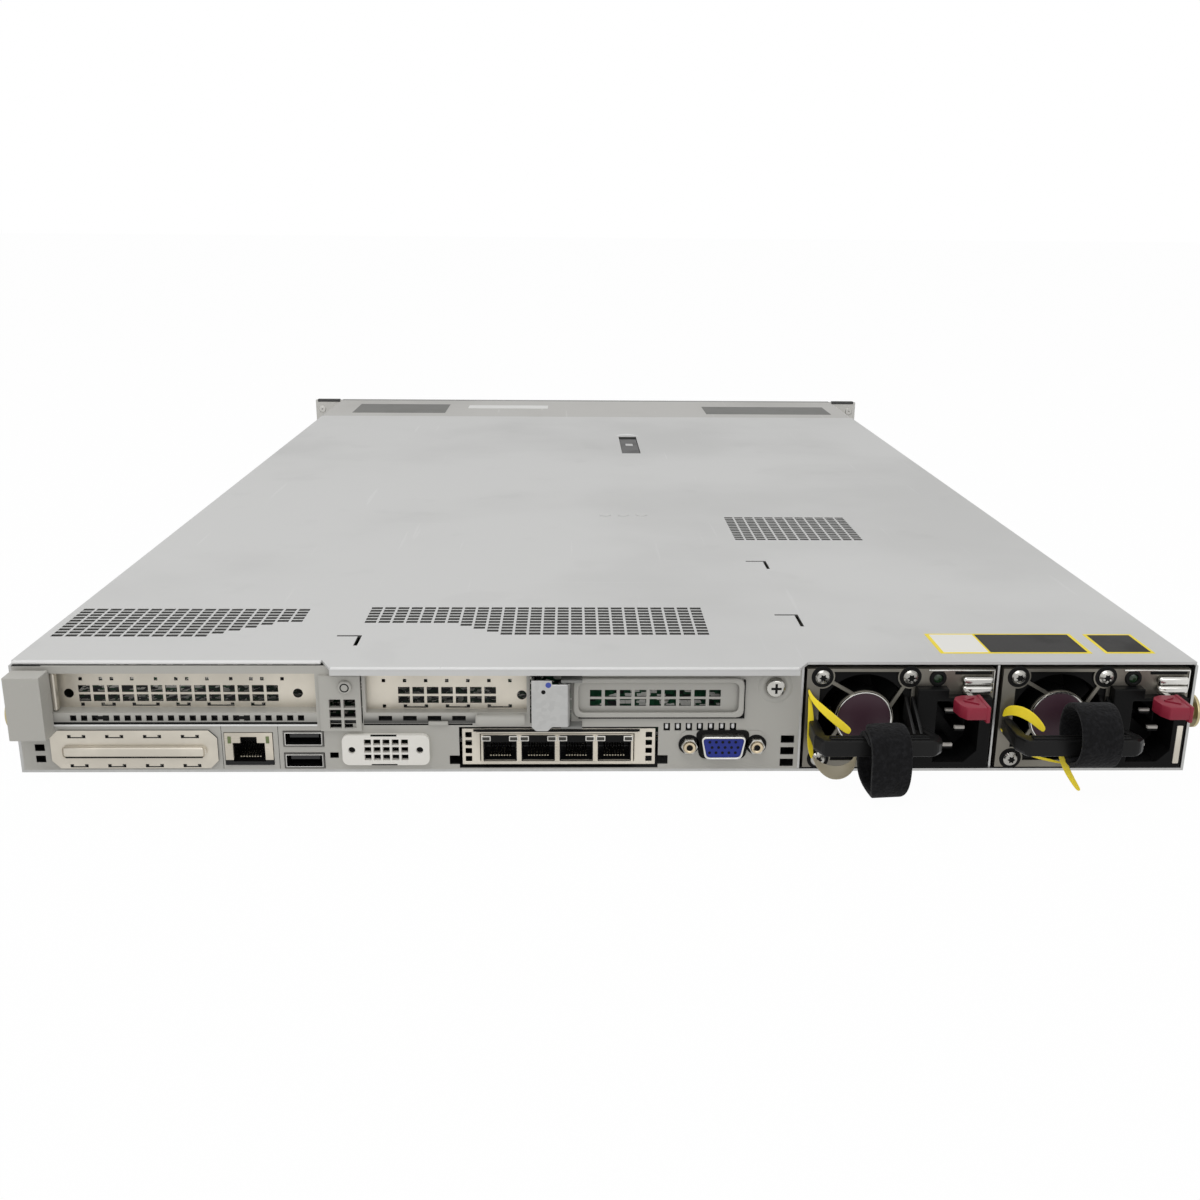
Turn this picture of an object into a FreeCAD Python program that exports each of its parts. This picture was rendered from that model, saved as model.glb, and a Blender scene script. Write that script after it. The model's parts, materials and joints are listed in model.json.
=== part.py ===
"""One-unit rack server: pan, cover, rear panel, power supplies, fans, boards, drives and their latches.

Millimetres. X runs to the right as the server is seen from behind, Y towards its front, Z up.
The origin is at the centre of the underside, so the rear face is at Y = REAR and the ears at Y = FRONT.
"""
import FreeCAD, Part
import math
import os

V = FreeCAD.Vector

# Chassis
CHASSIS_W = 434.6  # outside width of the pan
CHASSIS_H = 42.9  # base to the top of the cover
CHASSIS_D = 707.0  # rear face to the front of the ears
SHEET = 1.0  # steel of the pan, cover and panels
FIT = 0.3  # gap between pieces that move past each other
RUN = 0.05  # radial clearance of a pin in its bore
PIN_R = 1.1  # hinge pins
SLEEVE_WALL = 1.1  # metal around a hinge pin

LEFT = -CHASSIS_W / 2
RIGHT = CHASSIS_W / 2
REAR = -CHASSIS_D / 2
FRONT = CHASSIS_D / 2
STANDOFF_INSET = 22.0  # outer standoffs from the pan's walls
STANDOFF_REAR_X = (-60.0, 40.0)
STANDOFF_Y = (60.0, 356.0)  # both rows from the rear face

IN_LEFT = LEFT + SHEET
IN_RIGHT = RIGHT - SHEET
WALL_TOP = CHASSIS_H - SHEET
PANEL_TOP = WALL_TOP - FIT
SLEEVE_R = PIN_R + RUN + SLEEVE_WALL

# Power supplies
PSU_W = 69.5
PSU_D = 196.0
PSU_SKIN = 0.8
PSU_LIFT = 0.6  # above the pan's floor
PSU_TOP_GAP = 1.3
PSU_BAY_GAP = 1.05  # on each side of a supply
PSU_WALL_GAP = 1.6  # to the pan's right wall
PSU_Z = SHEET + PSU_LIFT
PSU_H = WALL_TOP - PSU_TOP_GAP - PSU_Z
PSU_PITCH = PSU_W + 2 * PSU_BAY_GAP + SHEET
PSU_2_X = IN_RIGHT - PSU_WALL_GAP - PSU_W
PSU_X = (PSU_2_X - PSU_PITCH, PSU_2_X)
BAY_X = PSU_X[0] - PSU_BAY_GAP - SHEET  # outer face of the bay's left wall
BAY_TAIL = 2.0  # the bay's walls run on past the supplies
BAY_D = PSU_D + BAY_TAIL

# Places across the rear are measured from a datum beside the supplies' bay, so that they move with it
BAY_FROM_DATUM = 70.55
DATUM = BAY_X - BAY_FROM_DATUM

# Fans
FAN = 40.0  # square frame of a system fan
PSU_FAN = 36.0  # and of a power supply's fan
FAN_D = 28.0
FAN_RIM = 1.0  # thinnest part of the frame around the bore
FAN_HUB_R = 10.0
FAN_TIP_GAP = 0.7
FAN_BLADES = 7
BLADE_T = 0.9
BLADE_PITCH_ANGLE = 42.0
FAN_STRUT = 2.0
ROTOR_START = 3.0  # behind the end of the frame
FAN_SCREW_PITCH = 32.5
SHAFT_R = 1.5
ROTOR_CAP = 2.0  # closed end of the hub
BLADE_CHORD = 0.85  # share of the rotor's length
BLADE_ROOT = 1.0  # a blade starts this deep in the hub
FAN_COUNT = 7
FAN_ROW_Y = 380.0  # from the rear face
FAN_ROW_EDGE = 16.3  # from the pan's walls to the row
FAN_ROW_PITCH = (IN_RIGHT - IN_LEFT - 2 * FAN_ROW_EDGE - FAN) / (FAN_COUNT - 1)

# Power supply face
FAN_X = 21.95  # fan axis from the supply's left edge
FAN_Z = 19.7  # and from its underside
GUARD_HUB_R = 10.9
GUARD_HALF = 17.0  # half of the fan window
GUARD_RISE = 1.2  # the window runs on above
GUARD_BOSS_R = 4.6
GUARD_SPOKE = 1.3
GUARD_SWIRL = 22.0  # degrees a spoke leans from the radius
INLET_X = 40.4  # left edge of the inlet block
INLET_W = 28.0
INLET_Z = 1.4
INLET_H = 27.5
INLET_EAR = (11.5, 3.5)  # raised left end of the block
INLET_OUT = 4.0
INLET_DEPTH = 22.0
INLET_GAP = 0.1  # around the block in the face
SOCKET_RISE = 0.6  # the socket's middle above the block's
SOCKET_W = 16.0
SOCKET_H = 24.0
SOCKET_DEPTH = 16.0
SOCKET_CHAMFER = 4.5
SOCKET_X = 7.4  # from the block's left edge
CONTACT = (2.0, 4.0)  # thickness and width of a contact blade
CONTACT_PITCH = 14.0
CONTACT_OFFSET = 4.0  # the earth blade from the other two
CONTACT_LENGTH = 13.0
LED_X = 48.4
LED_R = 2.4
LED_DROP = 3.6  # below the supply's top
HANDLE_OUT = 23.0
HANDLE_BAR = 6.0
HANDLE_Z = 14.0  # underside of the bar from the supply's underside
HANDLE_X = (0.5, 46.0)
HANDLE_ARM = 3.6
HANDLE_FOOT = (37.0, 40.1)  # where the right arm meets the face
HANDLE_CUT = 2.5  # cut corners of the bar
HANDLE_LEAN = 0.5  # of the left arm
HANDLE_CLEAR = 0.6  # between the right arm and the inlet block
TAB_X = 50.9
TAB_W = 11.0
TAB_Z = 27.1
TAB_H = 4.8
TAB_OUT = (8.0, 21.0)
SPRING_X = (57.2, 68.6)
SPRING_Z = (30.0, 36.7)
SPRING_T = 0.8
FINGER_W = 2.4  # the part of the leaf that carries the tab
STRAP_W = 14.4
STRAP_T = 2.4
HANG_X = 19.2  # left edge of the hanging strap
HANG_FLOOR = 0.6  # its lowest point above the base
HANG_OUT = 8.6  # its front beyond the bar
HANG_BACK = 3.6  # and its back behind it
HANG_CROWN = 3.0  # extra thickness where it goes over the bar
HANG_ROUND = (4.0, 1.0)  # outer and inner corners
PSU_BOARD_Z = (PSU_Z + 4.5, PSU_Z + 6.1)
PSU_BOARD_Y = 36.0  # from the rear face, behind the fan
PSU_BOARD_SIDE = 2.0
PSU_POST = 4.0  # posts under the board
COIL = ((8.0, 34.0), (30.0, 62.0), 24.0)  # place on the board and height
STORE = ((40.0, 64.0), (24.0, 74.0), 26.0)
EDGE_X = (20.0, 50.0)  # the connector at the board's front end
EDGE_OUT = 8.0
EDGE_GAP = 0.5
ROLL_X = 19.0  # left edge of the rolled strap
ROLL_R = 12.0
ROLL_SHIFT = 0.3  # its axis in front of the bar's

# Rear panel, X from the datum, Z from the base
BAND_Z = 19.4  # top of the lower band
OPEN_LEFT = LEFT + 11.3  # left end of the space above the band
OPEN_RIGHT = DATUM - 14.0
PORT_DEPTH = 18.0
PORT_EDGE = 0.2  # gap around a port in the panel
PORT_PROUD = 0.4  # shells stand this far behind the panel
CORNER_SQUARE = (3.6, 2.7)
CORNER_SQUARE_AT = (5.8, 4.0)  # from the pan's left side and the base
CORNER_SQUARE_PITCH = 4.5
ROW_SQUARE = (2.4, 3.0)
ROW_SQUARE_AT = (DATUM + 20.2, 16.4)
ROW_SQUARE_PITCH = 4.1
ROW_SQUARES = 7
BAY_SQUARE = (5.0, 3.0)
BAY_SQUARE_AT = (6.5, 2.0)  # left of the supplies' bay, and above the base
BAY_SQUARE_PITCH = 4.7
RISER_1 = (OPEN_LEFT, DATUM - 91.0)
RISER_2 = (DATUM - 90.6, DATUM - 29.2)
RISER_D = 180.0
RISER_GAP = 6.0  # between the cages, where a riser card stands
RISER_CARD_Y = 60.0  # rear end of the riser cards
RISER_CARD_GAP = 0.8  # from the cage that a card serves
RISER_CARD_DROP = 2.0  # its top below the cages'
SLOT_1_X = (LEFT + 13.8, DATUM - 107.5)
SLOT_2_X = (DATUM - 89.4, DATUM - 30.4)
SLOT_Z = (BAND_Z + 4.2, PANEL_TOP - 2.8)
SLOT_MIDDLE = SLOT_Z[0] + 5.4  # middle of a cover's vents, below the window's
SLOT_1_RECESS = 6.0
SLOT_2_RECESS = 4.0
SLOT_3_X = (DATUM - 11.9, DATUM + 48.1)
SLOT_3_Z = (21.9, 36.0)
SLOT_3_LAP = 2.0  # the cover laps the panel behind it
SLOT_3_VENTS = 9
SLOT_3_VENTS_X = DATUM + 17.0  # middle of the vents
SLOT_3_PITCH = 5.5
VENT = (4.3, 2.7)
VENT_PITCH = (5.3, 3.6)
BLOCK_X = (DATUM - 106.0, DATUM - 91.0)
BLOCK_Z = (16.8, 38.2)
BLOCK_T = 1.2
BLOCK_EDGE = 3.4  # sides of the block beside its vents
BLOCK_VENT = (4.3, 3.3)
BLOCK_VENT_Z = 17.9
BLOCK_VENT_PITCH = (5.3, 4.0)
BLOCK_VENTS = (2, 3)
LEDGE_SQUARE = (2.3, 2.2)
LEDGE_PITCH = 3.95
LEDGE_END = 5.0
LEDGE_SQUARES = int((BLOCK_X[0] - SLOT_1_X[0] - 2 * LEDGE_END) // LEDGE_PITCH)
LEDGE_RISE = 1.0  # squares and notches above the band
NOTCH = (5.0, 1.9)
NOTCHES = 6
NOTCH_PITCH = 9.0
SLOT_HOLE_R = 1.8
SLOT_1_HOLE_IN = (4.3, 7.7)  # round holes from the ends of the slot
SLOT_2_HOLE_IN = 1.9
RELIEF = 1.3  # square cuts beside the spring tabs of the covers
RELIEF_SLIT = 0.5  # narrow cut that joins two of them
RELIEF_EDGE = 0.4  # the lower cuts from the edge of the slot's window
RELIEF_RISE = 10.4  # the upper cuts from that edge
TAB_1_W = 7.4  # spring tabs of slot 1, in pairs
TAB_1_GAPS = (4.0, 8.7)  # inside a pair, and between pairs
TAB_1_END = 7.0
TAB_1_STEP = 2 * TAB_1_W + TAB_1_GAPS[0] + TAB_1_GAPS[1]
TAB_1_PAIRS = int((SLOT_1_X[1] - SLOT_1_X[0] - 2 * TAB_1_END + TAB_1_GAPS[1]) // TAB_1_STEP)
TAB_2_PITCH = 7.75
TAB_2_CUTS = 7
SLOT_1_END = 11.0  # plain ends beside the vents
SLOT_1_SHIFT = -3.5  # the vents' middle from the slot's
TAB_1_SHIFT = -2.1  # and the spring tabs' middle
SLOT_1_VENTS = int((SLOT_1_X[1] - SLOT_1_X[0] - 2 * SLOT_1_END + VENT_PITCH[0] - VENT[0]) // VENT_PITCH[0])
SLOT_2_VENTS = 7
BLANK_X = (LEFT + 11.9, DATUM - 144.4)
BLANK_Z = (1.9, 16.9)
BLANK_T = 0.8
BLANK_CUT = 3.0  # its cut corners
BLANK_RIB_END = 4.0
BLANK_RIB_Z = (6.9, 10.9)
BLANK_RIB_T = 1.0
BLANK_RIB_ROUND = 1.9
BLANK_TAB_W = 6.6
BLANK_TAB_PITCH = 13.8
BLANK_TABS = int((BLANK_X[1] - BLANK_X[0] - BLANK_CUT) // BLANK_TAB_PITCH)
BLANK_TAB_Z = (2.3, 13.9)
MGMT_X = DATUM - 141.9
MGMT_W = 17.7
MGMT_Z = (3.0, 15.7)
MGMT_SILL = 1.3  # below the plug
USB_X = DATUM - 120.2
USB_W = 14.7
USB_H = 6.0
USB_Z = (1.6, 10.3)
USB_WALL = 0.7
USB_DEPTH = 11.0
USB_TONGUE = (2.9, 4.4)  # the contact tongue, above the shell's underside
USB_SIDE = 1.9  # from the shell's side to the tongue
USB_SET_BACK = 1.5
UID_X = (DATUM - 103.4, DATUM - 100.2)
UID_Z = (5.6, 7.8)
SERIAL_X = (DATUM - 98.5, DATUM - 66.4)
SERIAL_Z = (3.55, 15.4)
SERIAL_T = 2.0
SERIAL_ROUND = 2.5
SERIAL_HOLE = (2.6, 2.3)
SERIAL_HOLE_AT = (8.1, 1.9)  # from the cover's lower left corner
SERIAL_HOLE_PITCH = (3.4, 3.0)
SERIAL_HOLES = (5, 3)
SERIAL_SCREW_R = 1.3
SERIAL_SCREW_IN = 3.55
LAN_X = (DATUM - 55.5, DATUM + 18.3)
LAN_Z = (1.5, 17.9)
LAN_NOTCH = (3.7, 3.0, 6.5)  # side notches of the opening: width, underside and top
LAN_EDGE = 1.0
LAN_COUNT = 4
LAN_PITCH = 14.15
LAN_JACK_Z = (4.0, 15.1)
LAN_MIDDLE = DATUM - 19.2
LAN_SILL = 0.6
LAN_LAP = 0.3  # gap around the gang in its bracket
LAN_Y = (0.8, 1.6)  # the bracket's sheet, behind the rear face
LAN_HOLE = (2.4, 2.2)
LAN_HOLE_AT = 2.2  # from the opening's edges
LAN_HOLE_PITCH = 3.2
LAN_HOLES = 4
JACK_W = 11.7
JACK_H = 7.4
JACK_KEY = (6.0, 2.4)
JACK_DEPTH = 13.0
VIDEO_X = DATUM + 42.3
VIDEO_Z = 10.95
VIDEO_FLANGE = (31.4, 10.8)
VIDEO_SHELL = (17.6, 9.5)
VIDEO_SLANT = 1.6
VIDEO_OUT = 5.5
VIDEO_WALL = 0.6
VIDEO_FLANGE_T = 0.8
VIDEO_SET_BACK = 0.8
CONTACT_HOLES = (5, 3)
CONTACT_HOLE_PITCH = (2.3, 2.1)
CONTACT_HOLE_R = 0.55
CONTACT_HOLE_DEPTH = 6.0
CONTACT_STAGGER = 0.6  # of the middle row
STANDOFF_PITCH = 25.0
STANDOFF_R = 3.0
STANDOFF_HOLE_R = 1.3
SCREW_X, SCREW_Z = DATUM + 61.1, 33.7
SCREW_R, SCREW_H = 3.7, 2.4
RIVET_X, RIVET_Z = DATUM - 96.5, 34.1
RIVET_R, RIVET_H = 2.6, 1.2
DOME = 0.6  # rounded share of a head's height
LATCH_IN = 1.5  # from the pan's side to the corner latch
LATCH_AXIS_IN = 2.5
LATCH_BACK = 1.5  # its gap to the rear face
LATCH_EARS = (3.5, 3.0)  # pin plates inside its foot and its top
LATCH_OUT = 10.0
LATCH_W = 13.0
LATCH_Z = (16.5, 40.6)
CLIP_X = (DATUM - 28.5, DATUM - 15.2)
CLIP_Z = (20.4, 36.8)
CLIP_OUT = 6.5
CLIP_AXIS_IN = 1.3
CLIP_STEP = 1.6  # its wider left part, above and below
CLIP_STEP_W = 7.5
CLIP_BACK = 1.0
PLATE_LAP = 1.2  # pin plates past the pin's axis
LATCH_PLATE = 5.0  # and towards the panel's middle
CLIP_PLATE = 4.0
HINGE_OUT = 4.0  # hinge axes behind the rear face
EAR_PLATE = 0.9  # plates that hold a hinge pin

# Cover
COVER_D = 607.0  # front edge from the rear face
COVER_STEP_X = (DATUM - 101.0, DATUM + 69.0)
COVER_LIP_OUT = 5.3
COVER_LIP = 3.0
COVER_LEFT_IN = 3.0
COVER_RIGHT_IN = 1.2
COVER_FLANGE = 6.0
HOLE = (4.5, 2.75)
HOLE_PITCH = (5.5, 3.75)
VENT_L_AT = (3.2, 30.6)  # nearest left hole, from the cover's left edge and the rear face
VENT_L_ROWS = 10
VENT_L_GAP = 15.0  # to the tongue beside it
VENT_M_AT = (DATUM - 96.6, 33.2)
VENT_M = (25, 10)
VENT_R_AT = (DATUM + 69.2, 187.4)
VENT_R = (12, 14)
STAIR_L = (5, 6)  # rows that drop away, and the column where that begins
STAIR_M = (4, 10)
LANCE = 1.5
LANCE_W = 9.6
LANCE_L_X = DATUM - 104.6
LANCES = ((LANCE_L_X, 32.4, 12.5), (DATUM + 69.4, 60.2, 16.2), (DATUM + 68.8, 146.0, 14.5))  # corner, length
VENT_L = (int((LANCE_L_X - VENT_L_GAP - LEFT - VENT_L_AT[0]) // HOLE_PITCH[0]), VENT_L_ROWS)
COVER_CORNER = 4.0  # slant at the ends of the cover's rear step
COVER_FLANGE_ENDS = (20.0, 4.0)  # flanges start past the supplies' bay and stop before the front edge
RECESS_X = (20.5, 35.0)
RECESS_Y = (436.0, 508.0)
RECESS_DEPTH = 7.0
RECESS_WALL = 0.8
LEVER_T = 4.2
LEVER_DROP = 0.6  # its top below the cover's
LEVER_END_GAP = 1.9
LEVER_FLOOR_GAP = 0.5
FINGER_GAP = 8.0  # past the lever's free end

# Boards, cooling and drives
BOARD_Z = 4.4
BOARD_T = 1.6
BOARD_FRONT = 366.0
BOARD_SIDE = 3.0
BOARD_BAY_GAP = 1.0
MATE_WALL = 3.0  # around a supply's edge connector
MATE_ROOF = 2.0
STANDOFF_FLAT_R = 3.0
DIMM_Y = (216.0, 349.0)
DIMM_T = 1.4
DIMM_PITCH = 8.0
DIMM_BANK = 6
DIMM_SOCKET = (6.4, 5.0)
DIMM_SEAT = 2.0  # a card's lower edge above the board
DIMM_END = 4.0  # a socket runs on past the card's ends
SINK_X = 93.0
SINK_W = 86.0
SINK_Y = (226.0, 332.0)
SINK_FIN = 0.8
SINK_PITCH = 3.0
SINK_BASE = 5.0
BANK_GAP = 2.0  # between a heat sink and the memory beside it
PROCESSOR_T = 4.0
PROCESSOR_IN = (12.0, 20.0)  # inside the heat sink's outline
CAGE_IN = 10.3  # from the pan's left wall
CAGE_W = 334.0
CAGE_X = (IN_LEFT + CAGE_IN, IN_LEFT + CAGE_IN + CAGE_W)
CAGE_D = 112.0
BAY_COLUMNS = 4
BAY_ROWS = 2
DRIVE_GAP = 0.6
BEZEL_OUT = 3.0
BEZEL_T = 12.0
SCOOP_IN = (6.0, 4.0)  # the hollow in a filler, inside its outline
CARRIER_D = 104.0
CARRIER_FRONT = 4.0  # its body ends this far behind the ears' face
CARRIER_PLATE = 2.0  # plates that hold the lever's pin
CARRIER_PLATE_W = 7.0
DRIVE_AXIS_IN = 4.5  # the lever's pin from the carrier's right side
DRIVE_AXIS_BACK = 0.4
BACKPLANE_T = 1.6
BACKPLANE_EDGE = 2.0  # above the floor and below the cover
FASCIA_T = 3.0
FASCIA_D = 20.0
FASCIA_GAP = 0.8
BUTTON_IN = 14.0  # both buttons from the panel's right end
BUTTON_R = 5.0
BUTTON_Z = 30.0
BUTTON_PROUD = 1.4
BUTTON_TAIL = 4.0
UID_BUTTON_R = 3.2
UID_BUTTON_Z = 14.0
BUSHING_D = 6.0
BUSHING_WALL = 1.5
EAR_W = 24.0
EAR_HOLE_IN = 8.75  # hole from the ear's outer edge
EAR_HOLE_R = 3.5
EAR_T = 3.0
EAR_LEG = 60.0
STUD_Y = (8.0, 330.0, 600.0)
STUD_Z = 21.1
STUD_R = 3.2
STUD_HEAD_R = 6.3
STUD_OUT = 4.5
STUD_HEAD = 1.0


def box(x, y, z):
    return Part.makeBox(x[1] - x[0], y[1] - y[0], z[1] - z[0], V(x[0], y[0], z[0]))


def rod(start, radius, length, axis):
    return Part.makeCylinder(radius, length, V(*start), V(*axis))


def rect(u, v):
    return [(u[0], v[0]), (u[1], v[0]), (u[1], v[1]), (u[0], v[1])]


def grid(corner, counts, pitch, size):
    """Rectangles in rows and columns from their lower left corner."""
    found = []
    for i in range(counts[0]):
        for k in range(counts[1]):
            u = corner[0] + i * pitch[0]
            v = corner[1] + k * pitch[1]
            found.append(rect((u, u + size[0]), (v, v + size[1])))
    return found


def staple(u0, u1, v):
    """The outline of two square cuts, outer ends at u0 and u1, joined along their undersides by a slit."""
    top, slit = v + RELIEF, v + RELIEF_SLIT
    return [
        (u0, v), (u1, v), (u1, top), (u1 - RELIEF, top),
        (u1 - RELIEF, slit), (u0 + RELIEF, slit), (u0 + RELIEF, top), (u0, top),
    ]


def centred(middle, count, pitch, size):
    """Start of a row of equal steps about its middle."""
    return middle - ((count - 1) * pitch + size) / 2


def plate(outline, holes, place, sweep):
    """A flat outline with holes, extruded; place turns a flat point into one in space."""
    wires = [Part.makePolygon([place(u, v) for u, v in [*line, line[0]]]) for line in [outline, *holes]]
    return Part.Face(wires, "Part::FaceMakerBullseye").extrude(sweep)


def plate_xz(outline, holes, y):
    return plate(outline, holes, lambda u, v: V(u, y[0], v), V(0, y[1] - y[0], 0))


def plate_xy(outline, holes, z):
    return plate(outline, holes, lambda u, v: V(u, v, z[0]), V(0, 0, z[1] - z[0]))


def join(first, *others):
    return first.fuse(list(others)).removeSplitter()


def save(name, *solids):
    shape = solids[0] if len(solids) == 1 else Part.makeCompound(list(solids))
    shape.exportStep(f"parts/{name}.step")


def hexagon(x, z, radius):
    turns = [math.radians(60 * i) for i in range(6)]
    return [(x + radius * math.cos(a), z + radius * math.sin(a)) for a in turns]


# Pan, with the standoffs that carry the system board
def standoff_places():
    first = IN_LEFT + STANDOFF_INSET
    for x in (first, *STANDOFF_REAR_X):
        yield x, REAR + STANDOFF_Y[0]
    for x in (first, 0, IN_RIGHT - STANDOFF_INSET):
        yield x, REAR + STANDOFF_Y[1]


def chassis_pan():
    section = [
        (LEFT, 0), (RIGHT, 0), (RIGHT, WALL_TOP), (IN_RIGHT, WALL_TOP),
        (IN_RIGHT, SHEET), (IN_LEFT, SHEET), (IN_LEFT, WALL_TOP), (LEFT, WALL_TOP),
    ]
    pan = plate_xz(section, [], (REAR, FRONT))
    posts = []
    for x, y in standoff_places():
        ring = [(x + u, y + v) for u, v in hexagon(0, 0, STANDOFF_FLAT_R)]
        posts.append(plate_xy(ring, [], (SHEET, BOARD_Z)))
    return join(pan, *posts)


# Rear panel and what is set into it
def rear_panel():
    outline = [
        (IN_LEFT, SHEET), (BAY_X, SHEET), (BAY_X, PANEL_TOP), (OPEN_RIGHT, PANEL_TOP),
        (OPEN_RIGHT, BAND_Z), (OPEN_LEFT, BAND_Z), (OPEN_LEFT, PANEL_TOP), (IN_LEFT, PANEL_TOP),
    ]
    edge = PORT_EDGE
    holes = [
        rect((MGMT_X - edge, MGMT_X + MGMT_W + edge), (MGMT_Z[0] - edge, MGMT_Z[1] + edge)),
        rect(UID_X, UID_Z),
        lan_opening(),
        rect(SLOT_3_X, SLOT_3_Z),
        rect(
            (VIDEO_X - VIDEO_SHELL[0] / 2 - edge, VIDEO_X + VIDEO_SHELL[0] / 2 + edge),
            (VIDEO_Z - VIDEO_SHELL[1] / 2, VIDEO_Z + VIDEO_SHELL[1] / 2),
        ),
        rect((BLOCK_X[0] + BLOCK_EDGE, BLOCK_X[1] - BLOCK_EDGE), (BLOCK_Z[0] + SHEET, BAND_Z - PORT_EDGE)),
    ]
    for z in USB_Z:
        holes.append(rect((USB_X - edge, USB_X + USB_W + edge), (z - edge, z + USB_H + edge)))
    corner = (LEFT + CORNER_SQUARE_AT[0], CORNER_SQUARE_AT[1])
    holes += grid(corner, (1, 2), (0, CORNER_SQUARE_PITCH), CORNER_SQUARE)
    holes += grid(ROW_SQUARE_AT, (ROW_SQUARES, 1), (ROW_SQUARE_PITCH, 0), ROW_SQUARE)
    beside_bay = (BAY_X - BAY_SQUARE_AT[0], BAY_SQUARE_AT[1])
    holes += grid(beside_bay, (1, 3), (0, BAY_SQUARE_PITCH), BAY_SQUARE)
    holes += serial_holes()
    return plate_xz(outline, holes, (REAR, REAR + SHEET))


def lan_opening():
    (x0, x1), (z0, z1) = LAN_X, LAN_Z
    wide, low, high = LAN_NOTCH
    return [
        (x0, z0), (x1, z0), (x1, low), (x1 + wide, low), (x1 + wide, high), (x1, high),
        (x1, z1), (x0, z1), (x0, high), (x0 - wide, high), (x0 - wide, low), (x0, low),
    ]


def slot_window(face, x, recess):
    """A sheet face with a window, and a rim that leads in to the slot's cover."""
    outer_z = (SLOT_Z[0] - SHEET, SLOT_Z[1] + SHEET)
    rim = box((x[0] - SHEET, x[1] + SHEET), (REAR + SHEET, REAR + recess), outer_z)
    return join(face, rim.cut(box(x, (REAR, REAR + recess), SLOT_Z)))


def riser_face(x, window, small):
    """The sheet that closes a riser cage at the rear, with the slot's window and small holes below it."""
    return plate_xz(rect(x, (BAND_Z, PANEL_TOP)), [rect(window, SLOT_Z), *small], (REAR, REAR + SHEET))


def riser_cages():
    tray_y = (REAR + SHEET, REAR + RISER_D)
    tray_z = (BAND_Z, BAND_Z + SHEET)
    row = centred((SLOT_1_X[0] + BLOCK_X[0]) / 2, LEDGE_SQUARES, LEDGE_PITCH, LEDGE_SQUARE[0])
    squares = grid((row, BAND_Z + LEDGE_RISE), (LEDGE_SQUARES, 1), (LEDGE_PITCH, 0), LEDGE_SQUARE)
    vents = grid((BLOCK_X[0] + BLOCK_EDGE, BLOCK_VENT_Z), BLOCK_VENTS, BLOCK_VENT_PITCH, BLOCK_VENT)
    block = plate_xz(rect(BLOCK_X, BLOCK_Z), vents, (REAR - BLOCK_T, REAR))
    face = riser_face(RISER_1, SLOT_1_X, squares)
    for line in vents:
        face = face.cut(plate_xz(line, [], (REAR, REAR + SHEET)))
    left = join(slot_window(face, SLOT_1_X, SLOT_1_RECESS), block, box(RISER_1, tray_y, tray_z))
    row = centred((SLOT_2_X[0] + SLOT_2_X[1]) / 2, NOTCHES, NOTCH_PITCH, NOTCH[0])
    notches = grid((row, BAND_Z + LEDGE_RISE), (NOTCHES, 1), (NOTCH_PITCH, 0), NOTCH)
    face = riser_face(RISER_2, SLOT_2_X, notches)
    tray = box((RISER_2[0] + RISER_GAP, RISER_2[1]), tray_y, tray_z)
    return left, join(slot_window(face, SLOT_2_X, SLOT_2_RECESS), tray)


def tab_starts(middle):
    """Left sides of slot 1's spring tabs."""
    first = middle - (TAB_1_PAIRS * TAB_1_STEP - TAB_1_GAPS[1]) / 2
    for i in range(TAB_1_PAIRS):
        start = first + i * TAB_1_STEP
        yield start
        yield start + TAB_1_W + TAB_1_GAPS[0]


def relief_cuts(cuts):
    """Square cuts along the top of a slot's window; along its bottom every other two are joined."""
    low = SLOT_Z[0] + RELIEF_EDGE
    high = SLOT_Z[0] + RELIEF_RISE
    found = [rect((u, u + RELIEF), (high, high + RELIEF)) for u in cuts]
    found.append(rect((cuts[0], cuts[0] + RELIEF), (low, low + RELIEF)))
    found += [staple(a, b + RELIEF, low) for a, b in zip(cuts[1::2], cuts[2::2])]
    return found


def cuts_1():
    starts = tab_starts((SLOT_1_X[0] + SLOT_1_X[1]) / 2 + TAB_1_SHIFT)
    return [u for start in starts for u in (start - RELIEF / 2, start + TAB_1_W - RELIEF / 2)]


def cuts_2():
    start = centred((SLOT_2_X[0] + SLOT_2_X[1]) / 2, TAB_2_CUTS, TAB_2_PITCH, RELIEF)
    return [start + i * TAB_2_PITCH for i in range(TAB_2_CUTS)]


def slot_cover(x, recess, columns, holes_x, cuts, shift=0.0):
    """A plated cover behind a slot's rim: two rows of vents, round holes beside them and relief cuts."""
    start = (
        centred((x[0] + x[1]) / 2 + shift, columns, VENT_PITCH[0], VENT[0]),
        centred(SLOT_MIDDLE, 2, VENT_PITCH[1], VENT[1]),
    )
    y = (REAR + recess, REAR + recess + BLANK_T)
    outline = rect((x[0] - SHEET, x[1] + SHEET), (SLOT_Z[0] - SHEET, SLOT_Z[1] + SHEET))
    cover = plate_xz(outline, grid(start, (columns, 2), VENT_PITCH, VENT) + relief_cuts(cuts), y)
    for hole in holes_x:
        cover = cover.cut(rod((hole, y[0] - 1, SLOT_MIDDLE), SLOT_HOLE_R, BLANK_T + 2, (0, 1, 0)))
    return cover


def slot_cover_3():
    (x0, x1), (z0, z1) = SLOT_3_X, SLOT_3_Z
    start = (
        centred(SLOT_3_VENTS_X, SLOT_3_VENTS, SLOT_3_PITCH, VENT[0]),
        centred((z0 + z1) / 2, 2, VENT_PITCH[1], VENT[1]),
    )
    lap = SLOT_3_LAP
    outline = rect((x0 - lap, x1 + lap), (z0 - lap, z1 + lap))
    vents = grid(start, (SLOT_3_VENTS, 2), (SLOT_3_PITCH, VENT_PITCH[1]), VENT)
    return plate_xz(outline, vents, (REAR + SHEET, REAR + SHEET + BLANK_T))


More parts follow.
